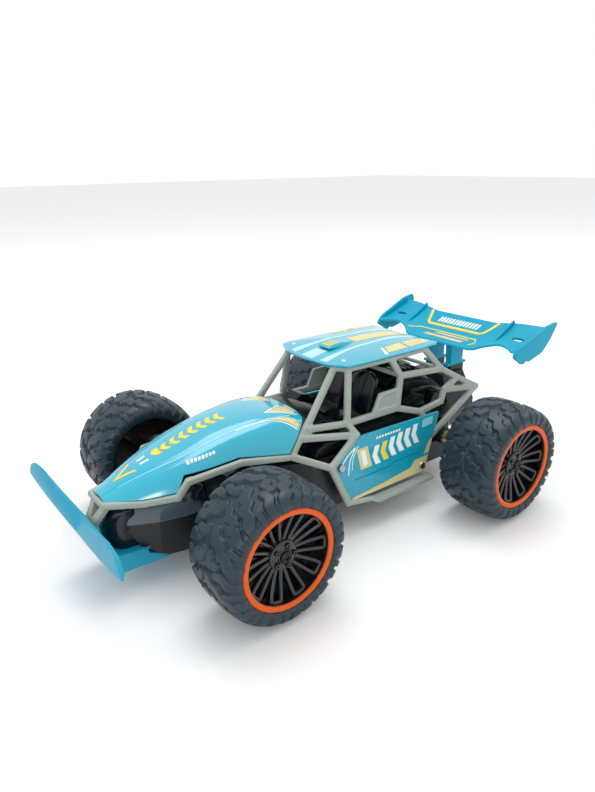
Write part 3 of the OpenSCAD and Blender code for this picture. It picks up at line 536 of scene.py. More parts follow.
for end in ("front", "rear"):
    for side, sign in SIDES.items():
        body = f"front_wheel_{side}" if end == "front" else "rear_wheels"
        hub = centre_mm(f"tyre_{end}_{side}")
        place = Matrix.Translation(hub) @ Matrix.Rotation(-sign * math.pi / 2, 4, "X")
        tyre = build(f"tyre_moulded_{end}_{side}", *moved(tyre_parts[end], place), rubber)
        mount(tyre, body, "tyre_rubber", f"tyre_{end}_{side}")
        rim = build(f"rim_spoked_{end}_{side}", *moved(rim_shape, place), rim_black)
        mount(bevel(rim, 0.12, 2, 40), body, "rim_black", f"rim_{end}_{side}")
        ring = build(f"ring_rounded_{end}_{side}", *moved(ring_shape, place), ring_orange)
        screw = build(f"screw_crosshead_{end}_{side}", *moved(screw_shape, place), dark_steel)
        cut(screw, [moved(slit, place) for slit in cross])
        # Both rear rings are one CAD node, and so are both rear screws
        tail = f"_front_{side}" if end == "front" else "s_rear"
        mount(ring, body, "ring_orange", f"trim_ring{tail}")
        mount(screw, body, "steel", f"wheel_screw{tail}")

# ---- suspension springs

SEAT_TOP, UPPER_ARM = 41.8, 49  # heights that the spring stands between
TURNS, COIL_R, WIRE_R = 4, 2.9, 0.35


def coil_parts(centre):
    """Round wire wound from the spring seat up to the upper arm."""
    rings = []
    for t in np.linspace(0, 1, 36 * TURNS + 1):
        a = math.tau * TURNS * t
        z = SEAT_TOP + WIRE_R + (UPPER_ARM - SEAT_TOP - 2 * WIRE_R) * t
        ring = []
        for b in np.linspace(0, math.tau, 11)[:-1]:
            r = COIL_R + WIRE_R * math.cos(b)
            ring.append((centre.x + r * math.cos(a), centre.y + r * math.sin(a), z + WIRE_R * math.sin(b)))
        rings.append(ring)
    return loft(rings)


for side in SIDES:
    centre = centre_mm(f"spring_{side}")
    spring = build(f"spring_coiled_{side}", *coil_parts(centre), steel)
    mount(spring, f"suspension_{side}", "steel", f"spring_{side}")
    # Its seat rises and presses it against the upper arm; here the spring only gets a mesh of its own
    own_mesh(spring)

# ---- hood

HOOD = np.array([
    # x, half width at the edge, edge height, half width of the crest, crest height, ridge height
    [25.6, 31.4, 55, 21.5, 71.6, 73.2],
    [41, 32, 54.2, 20.5, 73.9, 75.7],
    [68, 31, 51.4, 18, 72.8, 75.4],
    [104, 27.4, 50.2, 14.5, 64.3, 66.4],
    [125.6, 18.4, 48.9, 8.4, 57.6, 59.3],
    [142, 9, 48.9, 3.2, 50.6, 51],
])
# Lower edge line of the hood, seen from the side
HOOD_LOW = [(25.4, 73.2), (26, 72.8), (43, 55.9), (73.6, 61.2), (104.4, 58.9), (109.6, 51.5),
            (125.6, 49.9), (142, 49.9)]


def hood_section(x):
    """Smooth blend of the section values at x."""
    xs = HOOD[:, 0]
    i = int(np.clip(np.searchsorted(xs, x) - 1, 0, len(xs) - 2))
    h = xs[i + 1] - xs[i]
    t = (x - xs[i]) / h
    slope = np.gradient(HOOD[:, 1:], xs, axis=0)
    a, b = HOOD[i, 1:], HOOD[i + 1, 1:]
    return ((2 * t**3 - 3 * t**2 + 1) * a + (t**3 - 2 * t**2 + t) * h * slope[i]
            + (-2 * t**3 + 3 * t**2) * b + (t**3 - t**2) * h * slope[i + 1])


def hood_z(x, y):
    """Height of the hood: a centre ridge, a step at the crest, then a flank with a swell."""
    edge_y, edge_z, crest_y, crest_z, ridge_z = hood_section(x)
    y = abs(y)
    if y < crest_y:
        t = y / crest_y
        band = 0.45 * (1 - np.clip((t - 0.78) / 0.12, 0, 1))
        return ridge_z - 0.5 - (ridge_z - crest_z - 0.5) * t**2.4 + band
    t = (y - crest_y) / (edge_y - crest_y)
    swell = 0.9 * math.exp(-(((t - 0.3) / 0.16) ** 2)) * min(1, (142 - x) / 60)
    return crest_z - (crest_z - edge_z) * (0.3 * t + 0.7 * t**2.8) + swell * 0.4


def hood_half_width(x):
    """Where the section meets the lower edge line."""
    low = np.interp(x, [p[0] for p in HOOD_LOW], [p[1] for p in HOOD_LOW])
    a, b = 0, hood_section(x)[0]
    if hood_z(x, b) > low:
        return b
    for _ in range(30):
        mid = (a + b) / 2
        a, b = (mid, b) if hood_z(x, mid) > low else (a, mid)
    return a


def crowded(steps, share):
    """Values from -1 to 1 that crowd towards both ends."""
    return np.sin(np.linspace(-1, 1, steps) * math.pi / 2 * share) / math.sin(math.pi / 2 * share)


def hood_grid():
    """Skin of the hood, with columns closer where its edge line turns."""
    xs = [25.5, 25.8, 26.2, 26.7, 27.3, 28, 29]
    for x0, x1, steps in ((30, 43, 12), (43, 104.4, 50), (104.4, 109.6, 9), (109.6, 142, 30)):
        xs += list(np.linspace(x0, x1, steps))
    xs = sorted(set(xs))
    vs = crowded(81, 0.9)
    verts, faces = [], []
    for x in xs:
        w = hood_half_width(x)
        verts += [(x, v * w, hood_z(x, v * w)) for v in vs]
    n = len(vs)
    for i in range(len(xs) - 1):
        faces += [(i * n + j, i * n + j + 1, (i + 1) * n + j + 1, (i + 1) * n + j) for j in range(n - 1)]
    return verts, faces


hood = face_up(build("hood_shell_glossy", *hood_grid(), gloss_blue))
mount(thicken(hood, 1.3), "chassis", "body_blue", "hood_shell")


def both(*outlines):
    """Plan outlines and their mirror images."""
    return list(outlines) + [[(a, -b) for a, b in reversed(o)] for o in outlines]


def crest_stripe(inner, outer):
    """Stripe that follows the crest, between two shares of its half width."""
    xs = np.linspace(34, 134, 30)
    line = [(x, hood_section(x)[2]) for x in xs]
    return [(x, y * inner) for x, y in line] + [(x, y * outer) for x, y in reversed(line)]


def chevron(x, height):
    """Arrow-like block on the middle line, pointing to the nose."""
    half = height / 2
    return [(x, -half), (x + 2.5, 0), (x, half), (x - 3, half), (x - 0.5, 0), (x - 3, -half)]


decal("hood_stripes", both(crest_stripe(0.93, 1)), hood, print_sky)
decal("hood_chevrons", [chevron(70 + 5.6 * k, 9.4 - 0.3 * k) for k in range(8)], hood, print_yellow)
decal("hood_nose_mark", [[(134, 0), (122, 5.4), (122.6, 3.4), (130.2, 0), (122.6, -3.4), (122, -5.4)]],
      hood, print_yellow)
decal("hood_nose_dash", both([(119, 1.2), (119, 2.8), (114, 3.4), (114, 1.8)]), hood, print_white)
decal("hood_wedges", both([(66, 17.2), (50, 19), (33, 27.2), (30.2, 27.4), (33, 23), (46, 18.4)]),
      hood, print_cream)
decal("hood_wedge_lines", both([(70, 18), (50, 20.2), (32.2, 28.4), (31.4, 28.2), (50, 19.6),
                                (70, 17.4)]), hood, print_white)
decal("hood_screen_flashes", both([(30, 6), (44, 12.5), (29, 19), (28, 12)]), hood, print_cream)
decal("hood_screen_lines", both([(31, 4.6), (47, 12.4), (28.5, 20.4), (28.3, 19.6), (44.6, 12.4),
                                 (30.2, 5.6)]), hood, print_white)
side_marks = [[(x, z), (x + 1.5, z - 0.2), (x + 0.9, z + 1.3), (x - 0.6, z + 1.5)]
              for x, z in zip(np.linspace(85.6, 99.6, 8), np.linspace(65.4, 63, 8))]
for side, sign in SIDES.items():
    decal(f"hood_side_dashes_{side}", side_marks, hood, print_white, from_side=sign, step=1.5)

# ---- cage and hood trim


def bar(p, q, width, depth, out=(0, 1, 0)):
    """Flat-faced member from p to q, run on a little past both ends."""
    p, q = Vector(p), Vector(q)
    along = (q - p).normalized()
    broad = along.cross(Vector(out)).normalized()
    through = broad.cross(along).normalized()
    ends = [p - along * width * 0.3, q + along * width * 0.3]
    section = rounded(width, depth, min(width, depth) * 0.28)
    return loft([[tuple(e + broad * a + through * b) for a, b in section] for e in ends])


# Corners of the left cage side, then the bars between them
CAGE = {
    "hood_foot": (41, 30.5, 53), "pillar_foot": (23.5, 25.5, 69.5), "pillar_mid_high": (29, 27, 65),
    "pillar_mid_low": (33.5, 28.3, 61), "pillar_top": (2.5, 22, 96), "belt_front": (0.8, 32, 63.2),
    "door_high": (-1, 38.5, 57.5), "roof_front": (-2.2, 29, 96), "roof_mid": (-34.8, 31, 96.6),
    "roof_rear": (-66, 30, 96.6), "quarter_high": (-43.1, 32, 83.7), "belt_mid": (-41.3, 32, 62.7),
    "belt_rear": (-60, 34.5, 56.4), "window_low": (-80.4, 34.5, 58.6), "window_rear": (-84, 33.4, 65.6),
    "leg_knee": (-81.5, 32, 80.4), "leg_low": (-98.5, 32, 71), "tail_node": (-120, 32, 60),
    "tail_low": (-68.6, 39, 40), "door_front": (22.5, 43.2, 45), "door_toe": (11.5, 46.2, 19.8),
}
RUNS = [
    "hood_foot pillar_mid_low pillar_mid_high pillar_foot pillar_top roof_front roof_mid roof_rear",
    "pillar_mid_high belt_front belt_mid belt_rear window_low window_rear leg_low",
    "pillar_mid_low door_high belt_front roof_front",
    "hood_foot door_front door_high",
    "door_front door_toe",
    "roof_mid quarter_high belt_mid",
    "quarter_high leg_knee roof_rear",
    "leg_knee leg_low tail_node tail_low belt_rear",
    "window_rear tail_node",
]
CAGE_WIDTH, CAGE_DEPTH = 4.2, 3.3


def cage_parts():
    """Left side of the cage, with its quarter panel and skirt."""
    parts = []
    for run in RUNS:
        points = [CAGE[n] for n in run.split()]
        parts += [bar(p, q, CAGE_WIDTH, CAGE_DEPTH) for p, q in zip(points, points[1:])]
    parts.append(bar(CAGE["door_toe"], (-6, 47.4, 17.4), 3.2, 3))
    # Quarter panel with its raised border
    parts.append(slab([(-42, 63.4), (-19.4, 64), (-25.2, 76.2), (-43.6, 76.6)], 31, 32.8))
    border = [(-40.4, 32.9, 64.6), (-21.6, 32.9, 65.2), (-26.2, 32.9, 74.9), (-41.8, 32.9, 75.2)]
    parts += [bar(p, q, 1.5, 1.6) for p, q in zip(border, border[1:] + border[:1])]
    # Skirt under the door
    skirt = [(-4, 18.2), (-56, 18.2), (-59.5, 17.4), (-57, 15.4), (-9, 15.4)]
    parts.append(loft([[(x, y, z - (y - 46) * 0.12) for x, z in skirt] for y in (45.8, 48.6, 51.2)]))
    return parts


for side, sign in SIDES.items():
    parts = cage_parts() if sign > 0 else mirror_y(cage_parts())
    cage = build(f"roll_cage_moulded_{side}", *join_parts(parts), cage_grey)
    mount(fuse(cage, 0.5), "chassis", "cage_grey", f"roll_cage_{side}")

# Grey trim along the lower edge of the hood, from the nose to the cage
trim_line = [(142.4, 8.6, 48.2), (125.6, 17.4, 47.5), (109.6, 25.2, 49), (104.2, 26.4, 56.4),
             (73.6, 29.2, 58.9), (44, 30.8, 53.6)]
trim = [bar((142.4, -8.6, 48.4), (142.4, 8.6, 48.4), 2.4, 2.6, out=(1, 0, 0))]
for sign in (1, -1):
    line = [(x, sign * y, z) for x, y, z in trim_line]
    trim += [bar(p, q, 3.8, 3.2) for p, q in zip(line, line[1:])]
# Nose bracket: a raked plate down to the blade, with a window
nose = [(141.2, 48.8, 8.9), (143.6, 45.2, 8.2), (148.4, 37.8, 5.8)]
trim.append(loft([[(x, -w, z), (x - 2.6, -w, z - 1.56), (x - 2.6, w, z - 1.56), (x, w, z)]
                  for x, z, w in nose]))
bracket = fuse(build("hood_trim_moulded", *join_parts(trim), cage_grey), 0.45)
window = [(-3.6, 0.2), (3.6, 0.2), (0.9, 0.78), (-0.9, 0.78)]
window = [[(141.9 + 6.5 * v + out, w, 47.6 - 9.8 * v + 0.66 * out) for w, v in window] for out in (-4, 4)]
mount(cut(bracket, [loft(window)]), "chassis", "cage_grey", "hood_trim")

# ---- roof

roof_half = [(7.4, 0), (7, 11), (6.2, 20.4), (0.2, 32.4), (-8, 33.6), (-60, 33.4), (-78.5, 31),
             (-77.4, 14), (-77.1, 0)]
roof_outline = smooth_outline(roof_half + [(x, -y) for x, y in reversed(roof_half[1:-1])], 3, 6)


def roof_skin():
    """Crowned skin of the roof, open below: its outline shrinks to the middle as it rises."""
    middle = -36
    rings = []
    for s in np.concatenate([[1], 1 - np.linspace(0.012, 1, 26) ** 1.25]):
        s = max(float(s), 0.01)
        z = 99 + 3.2 * (1 - s ** 2.6)
        rings.append([(middle + (x - middle) * s, y * s, z - 0.8 * max(0, (x + 8) / 13) ** 2 * s)
                      for x, y in roof_outline])
    verts, faces = loft(rings)
    # The last two faces are the caps: the one on the first ring is left out
    return verts, faces[:-2] + faces[-1:]


roof = face_up(build("roof_panel_glossy", *roof_skin(), gloss_blue))
mount(thicken(roof, 1.4), "chassis", "body_blue", "roof_panel")

# x, then half width and height of the scoop's foot and of its top
scoop_rows = [(-7.5, 5.2, 101.2, 4.6, 102.2), (-12, 5.6, 101.2, 4.8, 103.4),
              (-20, 5.4, 101.4, 4.4, 103.8), (-28.5, 4.6, 101.6, 3.6, 102.4)]
scoop = build("roof_scoop", *loft([[(x, -foot, low), (x, foot, low), (x, top, high), (x, -top, high)]
                                   for x, foot, low, top, high in scoop_rows]), gloss_blue)
mount(bevel(scoop, 0.7, 4), "chassis", "body_blue")

decal("roof_stripes", both([(5.2, 11.8), (4.6, 17.8), (-16, 14.4), (-44, 13), (-76, 14.6),
                            (-76.2, 9.6), (-44, 10), (-16, 11.6)]), roof, print_ice)
decal("roof_centre", [[(6, -5.4), (6, 5.4), (-7, 4.8), (-7, -4.8)]], roof, print_ice)
decal("roof_rear_band", [[(-30, -5.2), (-30, 5.2), (-75.6, 6), (-75.6, -6)]], roof, print_cream)
decal("roof_blocks", both([(-38, 22.5), (-52, 21.5), (-52, 29.5), (-34, 30)],
                          [(-53.4, 21.5), (-72, 21), (-74, 28), (-53.4, 29.5)]), roof, print_cream)
decal("roof_front_flash", both([(-30, 31.4), (-34, 23), (-36, 23), (-33, 31.4)]), roof, print_white)
decal("scoop_mark", [[(-9.5, -3.6), (-9.5, 3.6), (-17, 3.9), (-17, -3.9)]], scoop, print_yellow)
decal("scoop_bars", [[(-10.6, y), (-10.6, y + 0.9), (-16, y + 1.5), (-16, y + 0.6)]
                     for y in (-2.8, -0.8, 1.2)], scoop, gloss_blue, lift=0.14)
# Stud heads that stand 0.4 mm out of the roof's skin
stud = revolve([(0.02, -1.9), (0.02, 0.4), (0.8, 0.35), (1.2, 0.1), (1.25, -1.9)], 24)
roof_tree = BVHTree.FromObject(roof, bpy.context.evaluated_depsgraph_get())
studs = []
for x, y in [(-3, 24), (-3, -24), (-70, 25), (-70, -25)]:
    hit = roof_tree.ray_cast(Vector((x * MM, y * MM, RAY_START)), Vector((0, 0, -1)))[0]
    studs.append(moved(stud, Matrix.Translation((x, y, hit.z / MM))))
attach(build("roof_studs", *join_parts(studs), print_white), "chassis")

# ---- doors

door_foot = Vector((0, 46.8, 18.6))
door_lean = math.atan(6.4 / 36)  # the top leans in by 6.4 over a height of 36
door_outline = [(9.4, 1.6), (-54, 1.8), (-73, 37.4), (-4.2, 39), (19.8, 26.6)]


def door_point(a, b, out=0):
    """A point on the left door: a along X, b up the panel, out from its face."""
    c, s = math.cos(door_lean), math.sin(door_lean)
    return (door_foot.x + a, door_foot.y + out * c - b * s, door_foot.z + b * c + out * s)


def door_flat(points, out0, out1):
    """Outline on the door's face, given a thickness."""
    return loft([[door_point(a, b, out0) for a, b in points], [door_point(a, b, out1) for a, b in points]])


def ribbon(points, width):
    """Outline of a line with a width."""
    p = [Vector(q) for q in points]
    left, right = [], []
    for i, q in enumerate(p):
        t = (p[min(i + 1, len(p) - 1)] - p[max(i - 1, 0)]).normalized()
        n = Vector((-t.y, t.x)) * width / 2
        left.append(tuple(q + n))
        right.append(tuple(q - n))
    return left + right[::-1]


swoosh = [
    ribbon(curve_through([(15.6, 22.5), (10, 28.5), (3.4, 32.4), (2, 32.8)], 6), 0.8),
    ribbon(curve_through([(2.2, 32.6), (7.2, 26), (9.6, 18)], 6), 0.8),
    ribbon(curve_through([(-0.2, 33.4), (4.6, 27), (6.4, 20)], 6), 0.5),
]
door_plate = [(-0.4, 18.4), (-9.6, 18.6), (-7.4, 31.4), (1.4, 31.2)]
door_slash = [(-2.8, 20.2), (-6.4, 20.2), (-5.2, 29.6), (-1.6, 29.6)]


def door_chevron(k):
    """One of a row of leaning chevrons, which climbs and grows to the rear."""
    x, z, h = -12.6 - 6.9 * k, 18.4 + 0.75 * k, 11.4 + 0.15 * k
    return [(x, z), (x - 4.3, z), (x - 1.9, z + h / 2), (x - 4.8, z + h), (x - 0.7, z + h),
            (x + 2.1, z + h / 2)]


small_dashes = [[(x, 33.6), (x - 1.6, 33.6), (x - 1.9, 35), (x - 0.3, 35)]
                for x in np.linspace(-15, -34, 9)]
hem = [(9, 2), (-53.6, 2.2), (-58.4, 11.6), (-46, 11.2), (-42, 7.4), (-32, 6.6), (-20, 5.2), (8, 3.4)]
rear_flash = [(-59.4, 13.2), (-64, 22), (-60.4, 20.4), (-54.6, 13)]
label = [(-55, 30.4), (-64.6, 31), (-66.4, 35.8), (-56.4, 35.4)]
DOOR_PRINTS = [
    # name, material, height of its back over the door, outlines
    ("swoosh", print_white, 0.06, swoosh),
    ("plate", print_cream, 0.06, [door_plate]),
    ("slash", print_white, 0.13, [door_slash]),
    ("chevrons", print_white, 0.06, [door_chevron(k) for k in (0, 2, 3, 4, 5)]),
    ("chevron_yellow", print_yellow, 0.06, [door_chevron(1)]),
    ("dashes", print_white, 0.06, small_dashes),
    ("hem", print_cream, 0.06, [hem, rear_flash]),
    ("label", print_sky, 0.06, [label]),
]

for side, sign in SIDES.items():
    panel = door_flat(smooth_outline(door_outline, 2.2), -1.8, 0)
    groove = ribbon([(5.4, 13.8), (-24, 13.8), (-27, 15.4), (-51, 15.4)], 0.7)
    # A groove along the panel and a dimple at each end
    cutters = [door_flat(groove, -0.5, 2)]
    for a, b in [(14.5, 24), (-52, 6)]:
        cutters.append(loft([[door_point(a + r * math.cos(t), b + r * math.sin(t), out)
                              for t in np.linspace(0, math.tau, 25)[:-1]]
                             for r, out in ((2.4, 0.5), (2, -0.7))]))
    if sign < 0:
        panel, cutters = mirror_y([panel])[0], mirror_y(cutters)
    door = bevel(build(f"door_panel_glossy_{side}", *panel, door_blue), 0.45, 3)
    mount(cut(door, cutters), "chassis", "body_blue", f"door_panel_{side}")
    for name, material, out, outlines in DOOR_PRINTS:
        parts = [door_flat(o, out, out + 0.06) for o in outlines]
        parts = parts if sign > 0 else mirror_y(parts)
        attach(build(f"door_{name}_{side}", *join_parts(parts), material, smooth=False), "chassis")

# ---- bumper

BLADE_HALF = 64.5


def blade_ring(y):
    """Cross-section of the blade: raked face, rounded top lip, thin lower edge."""
    u = abs(y) / BLADE_HALF
    front = 154.8 + 3.2 * math.sin(u * math.pi / 2)
    low, high, lean = 33 + 9.6 * u, 40.9 + 10.6 * min(1, u / 0.72) ** 1.05, 3.6 * (1 - u)
    # The top edge runs down to the tip
    tall = (high - low) * math.sqrt(max(0.05, 1 - max(0, (u - 0.86) / 0.14) ** 2))
    high = low + tall
    bow = 0.5 * (1 - u)
    face = [(front, low), (front + bow, low + tall * 0.25), (front - lean * 0.35 + bow, low + tall * 0.55),
            (front - lean * 0.8, low + tall * 0.88), (front - lean - 0.2, high),
            (front - lean - 0.9, high + 0.35)]
    back = [(x - 1.8 + 0.15 * i, z) for i, (x, z) in enumerate(reversed(face[:-1]))]
    return [(x, y, z) for x, z in face + back]


tray = [(154.4, 32), (154.4, 35), (150, 35), (143.6, 18.5), (117, 16), (105.5, 16), (105.5, 14),
        (117, 14), (144.4, 14.6)]
tray_plate = [(147.4, 27.6), (145.8, 28.2), (141, 23.4), (125, 23), (125, 21.6), (141.6, 21.8)]
tray_wall = [(154, 33), (150.5, 37), (145.5, 25.2), (127, 23.6), (126, 20.2), (116, 15.8), (116, 14),
             (144.4, 14.8)]
tray_rib = [(151, 30), (146, 31), (141.4, 19), (144.4, 17.4)]
blade_parts = [loft([blade_ring(BLADE_HALF * v) for v in crowded(97, 0.96)])]
blade_parts += [slab(tray, -19.4, 19.4), slab(tray_plate, -18.8, 18.8)]
for sign in (1, -1):
    blade_parts += [side_slab(tray_wall, sign, 18.6, 20.6), side_slab(tray_rib, sign, 5.6, 7)]
bumper = bevel(build("front_bumper_moulded", *join_parts(blade_parts), matte_blue), 0.35, 3, 35)
mount(bumper, "chassis", "aero_blue", "front_bumper")

# ---- front end in black

lid_plan = [(96, -24.7), (104.1, -24.7), (119.7, -21.6), (134.2, -14.7), (134.2, 14.7), (119.7, 21.6),
            (104.1, 24.7), (96, 24.7)]


def lid_ring(z, inset):
    """The lid's plan at a height, drawn in from the front and both sides."""
    return [(x - (inset if x > 100 else 0), y - math.copysign(inset, y), z) for x, y in lid_plan]


lid = loft([lid_ring(36.3, 0), lid_ring(37.2, 0), lid_ring(46.2, 4.4), lid_ring(47, 6)])
lid = bevel(build("housing_lid", *lid, satin_black_painted_sheen), 0.35)
screw_hole = revolve([(0.02, -3), (1.5, -3), (1.5, 3), (0.02, 3)], 24)
holes = []
for sign in (1, -1):
    place = Matrix.Translation((104.5, sign * 21.8, 44.2))
    holes.append(moved(screw_hole, place @ Matrix.Rotation(math.radians(-sign * 68), 4, "X")))
mount(cut(lid, holes), "chassis", "shell_black")


def nose_ring(z, length, width):
    """Section of the nose block at a height: a squarish arc closed at the back."""
    half = 14 * width
    ring = [(129, -half, z)]
    for a in np.linspace(-math.pi / 2, math.pi / 2, 25):
        ring.append((131 + 11.4 * length * abs(math.cos(a)) ** 0.5,
                     half * math.copysign(abs(math.sin(a)) ** 0.6, a), z))
    return ring + [(129, half, z)]


# Rounded block between the bumper and the housing: height, then shares of its length and width
front_bits = [loft([nose_ring(*row) for row in [
    (23, 0.84, 1), (30, 0.98, 1), (36, 1, 1), (41, 0.86, 1), (43.8, 0.68, 0.97), (45, 0.5, 0.9),
    (45.4, 0.3, 0.78),
]])]
for sign in (1, -1):
    front_bits += [
        side_slab([(133.6, 33), (136.4, 33), (135.6, 34.6), (133.6, 34.6)], sign, 12.8, 14.4),
        # Dark block behind the nose bracket: stands for the housing's front face in shade, and plugs the
        # bracket's window with painted shade
        side_slab([(138, 36.5), (142.8, 38.5), (139.4, 46.8), (136, 46.8)], sign, 0, 5.4),
        # Clamp and faceted brackets behind the front wheel
        side_slab([(66, 40), (76, 40), (76, 47.5), (66, 47.5)], sign, 24.6, 30),
        side_slab([(95, 44), (101, 44), (99, 50), (96, 51)], sign, 21.5, 26.5),
        side_slab([(60, 42), (80, 42), (78, 47), (70, 50.5), (62, 49)], sign, 19, 23),
    ]
front_bits = bevel(build("front_mouldings", *join_parts(front_bits), navy_black), 0.8)
mount(front_bits, "chassis", "shell_black")

# ---- cockpit


def seat_parts(y_mid):
    """Bucket seat: a dished shell from the front lip over the cushion to a tall rounded back."""
    spine = curve_through([(-5, 51.5), (-12, 52.6), (-20, 52.4), (-25.5, 56), (-28.5, 64), (-31, 73),
                           (-33, 80), (-33.8, 83.6)], 6)
    rings = []
    for i, (x, z) in enumerate(spine):
        t = i / (len(spine) - 1)
        a, b = spine[max(i - 1, 0)], spine[min(i + 1, len(spine) - 1)]
        nx, nz = -(b[1] - a[1]), b[0] - a[0]
        n = math.hypot(nx, nz)
        nx, nz = -nx / n, -nz / n
        half = 8.6 * (1 if t < 0.74 else math.sqrt(1 - ((t - 0.74) / 0.265) ** 2.2))
        ring = []
        for v in np.linspace(-1, 1, 17):
            lift = 2.4 * abs(v) ** 3.2 - 0.5 * math.exp(-((abs(v) - 0.62) / 0.07) ** 2)
            ring.append((x + nx * lift, y_mid + v * half, z + nz * lift))
        for v in np.linspace(1, -1, 17):
            depth = 2.2 * (1 - v**4 * 0.4)
            ring.append((x - nx * depth, y_mid + v * half * 0.97, z - nz * depth))
        rings.append(ring)
    return loft(rings)


SEAT_Y = 14
seats = [seat_parts(y) for y in (SEAT_Y, -SEAT_Y)]
for y in (SEAT_Y, -SEAT_Y):
    seats.append(block((-24, y - 5.5, 48), (-8, y + 5.5, 51.4)))
mount(build("seats_bucket", *join_parts(seats), seat_black), "chassis", "seat_black", "seats")

# Ribbed cowl under the windscreen, and the wall behind it
cabin = [slab([(13, 66.6), (22, 67.6), (31, 61), (35, 57), (35, 55), (13, 60)], y - 1.1, y + 1.1)
         for y in range(-20, 21, 5)]
cabin.append(slab([(8, 60), (13, 62), (14, 68.4), (11, 68.8), (8.4, 64)], -22, 22))
# Broad smooth dash, bowed towards the nose and down at its ends
dash = [(31, 66), (22, 69.6), (12, 70.4), (3, 67.4), (-1, 61), (0, 54), (31, 54)]
cabin.append(loft([[(x + 0.004 * y * y, y, z - 0.004 * y * y) for x, z in dash]
                   for y in np.linspace(-27, 27, 13)]))
# Engine block, between its heads and pipes
cabin.append(slab([(-50, 66), (-50, 71), (-58, 76.5), (-80, 76), (-88, 70), (-88, 66)], -13, 13))
binnacle = [(9, 68.5), (4, 71.4), (-2, 69.8), (-3.4, 66.4), (0, 62)]
for sign in (1, -1):
    cabin.append(slab(binnacle, sign * SEAT_Y - 6.5, sign * SEAT_Y + 6.5))
    # Door pockets seen through the open front corner
    cabin.append(side_slab([(4, 50), (28, 50), (26, 54), (20, 56.5), (6, 56.5)], sign, 28, 35.5))
    cabin.append(side_slab([(-34, 55), (-8, 55), (-10, 58.6), (-30, 59.6)], sign, 25, 29))
    for k in range(6):
        x, top = -56 - 4.4 * k, 79.4 - 0.3 * k
        cooling_fin = [(x - 1.2, 76), (x + 1.2, 76), (x + 1.2, top), (x - 1.2, top)]
        cabin.append(side_slab(cooling_fin, sign, 3.2, 12.4))
    high_pipe = [(-54, sign * 15, 70), (-62, sign * 17.5, 73), (-78, sign * 17.5, 72), (-90, sign * 15, 66)]
    low_pipe = [(-56, sign * 20, 62), (-66, sign * 23, 66), (-82, sign * 23, 65), (-96, sign * 20, 60)]
    cabin.append(sweep(curve_through(high_pipe, 6), rounded(3.4, 3.4, 1.6, 4)))
    cabin.append(sweep(curve_through(low_pipe, 6), rounded(3, 3, 1.4, 4)))
    # Cases beside the engine
    cabin.append(side_slab([(-50, 55), (-72, 55), (-70, 64), (-60, 67.5), (-52, 64)], sign, 20, 28))
    cabin.append(side_slab([(-76, 55.4), (-94, 55.4), (-92, 60), (-80, 63)], sign, 22, 29))
cabin = bevel(build("cabin_mouldings", *join_parts(cabin), gloss_black), 0.6)
mount(cabin, "chassis", "shell_black")

# ---- wing

WING = np.array([
    # y, x and z of the front edge, x and z of the rear edge
    [0, -114, 86.6, -145, 100.2],
    [26, -114, 86.6, -145, 100.2],
    [46, -117, 90.4, -149, 102.2],
    [62, -118, 91.4, -152, 102.2],
])


def wing_edges(y):
    """Front and rear edge at y, with the front edge scooped out between the centre and the tips."""
    u = abs(y)
    x0, z0, x1, z1 = (np.interp(u, WING[:, 0], WING[:, k]) for k in range(1, 5))
    scoop_out = 5.5 * math.sin(math.pi * np.clip((u - 31) / 27, 0, 1)) ** 0.8
    share = scoop_out / (x0 - x1)
    return x0 - scoop_out, z0 + (z1 - z0) * share, x1, z1


def wing_ring(y):
    """Section of the wing at y: a thin cambered profile with a small lip at the rear."""
    x0, z0, x1, z1 = wing_edges(y)
    n = math.hypot(x1 - x0, z1 - z0)
    nx, nz = (z1 - z0) / n, -(x1 - x0) / n
    top, low = [], []
    for t in (0, 0.03, 0.1, 0.3, 0.55, 0.8, 0.94, 0.985, 1):
        camber = -1.1 * math.sin(math.pi * t) + 0.9 * max(0, (t - 0.9) / 0.1)
        half = min(1, (t / 0.04) ** 0.5 + 0.15, ((1 - t) / 0.04) ** 0.5 + 0.15)
        x, z = x0 + (x1 - x0) * t, z0 + (z1 - z0) * t - 0.8
        top.append((x + nx * (camber + half), y, z + nz * (camber + half)))
        low.append((x + nx * (camber - half), y, z + nz * (camber - half)))
    return top + low[::-1]


def fin(sign):
    """Shark-fin endplate, bowed outwards to its tip."""
    outline = smooth_outline([
        (-115, 88), (-121, 84.4), (-125.4, 81.2), (-128.4, 83.6), (-131.4, 82.2), (-147, 85.8),
        (-155, 93.5), (-158, 104), (-157.2, 106.2), (-148, 104.8), (-136, 100.4), (-122, 95),
    ], 2.6, 4)
    rings = []
    for out in (-1, -0.4, 1, 1.4):
        # The outer rings are a little smaller, which rounds the rim
        draw_x, draw_z = (0.36, 0.3) if abs(out) > 0.9 else (0, 0)
        rings.append([(x + (draw_x if x < -136 else -draw_x),
                       sign * (62.2 + out + 2.6 * max(0, (z - 90) / 16) ** 2),
                       z + (draw_z if z < 94 else -draw_z)) for x, z in outline])
    return loft(rings)


wing_parts = [loft([wing_ring(y) for y in np.linspace(-62, 62, 125)]), fin(1), fin(-1)]
x0, z0, x1, z1 = wing_edges(40)
gusset = [(x0 - 4, z0 + 1.2), (x1 + 1, z1 + 2.4), (x1 - 0.5, z1 - 1)]
wing_slot = revolve([(0.02, -9), (2, -9), (2, 9), (0.02, 9)], 24)
slots = []
for sign in (1, -1):
    wing_parts.append(slab(gusset, sign * 38.8, sign * 40.2))
    place = Matrix.Translation((-133, sign * 53, 96)) @ Matrix.Rotation(math.radians(22), 4, "Y")
    slots.append(moved(wing_slot, place @ Matrix.Diagonal((1, 2.4, 1, 1))))
wing = cut(build("rear_wing_moulded", *join_parts(wing_parts), wing_blue), slots)
for poly in wing.data.polygons:
    poly.use_smooth = True
wing.data.set_sharp_from_angle(angle=math.radians(38))
mount(wing, "chassis", "aero_blue", "rear_wing")

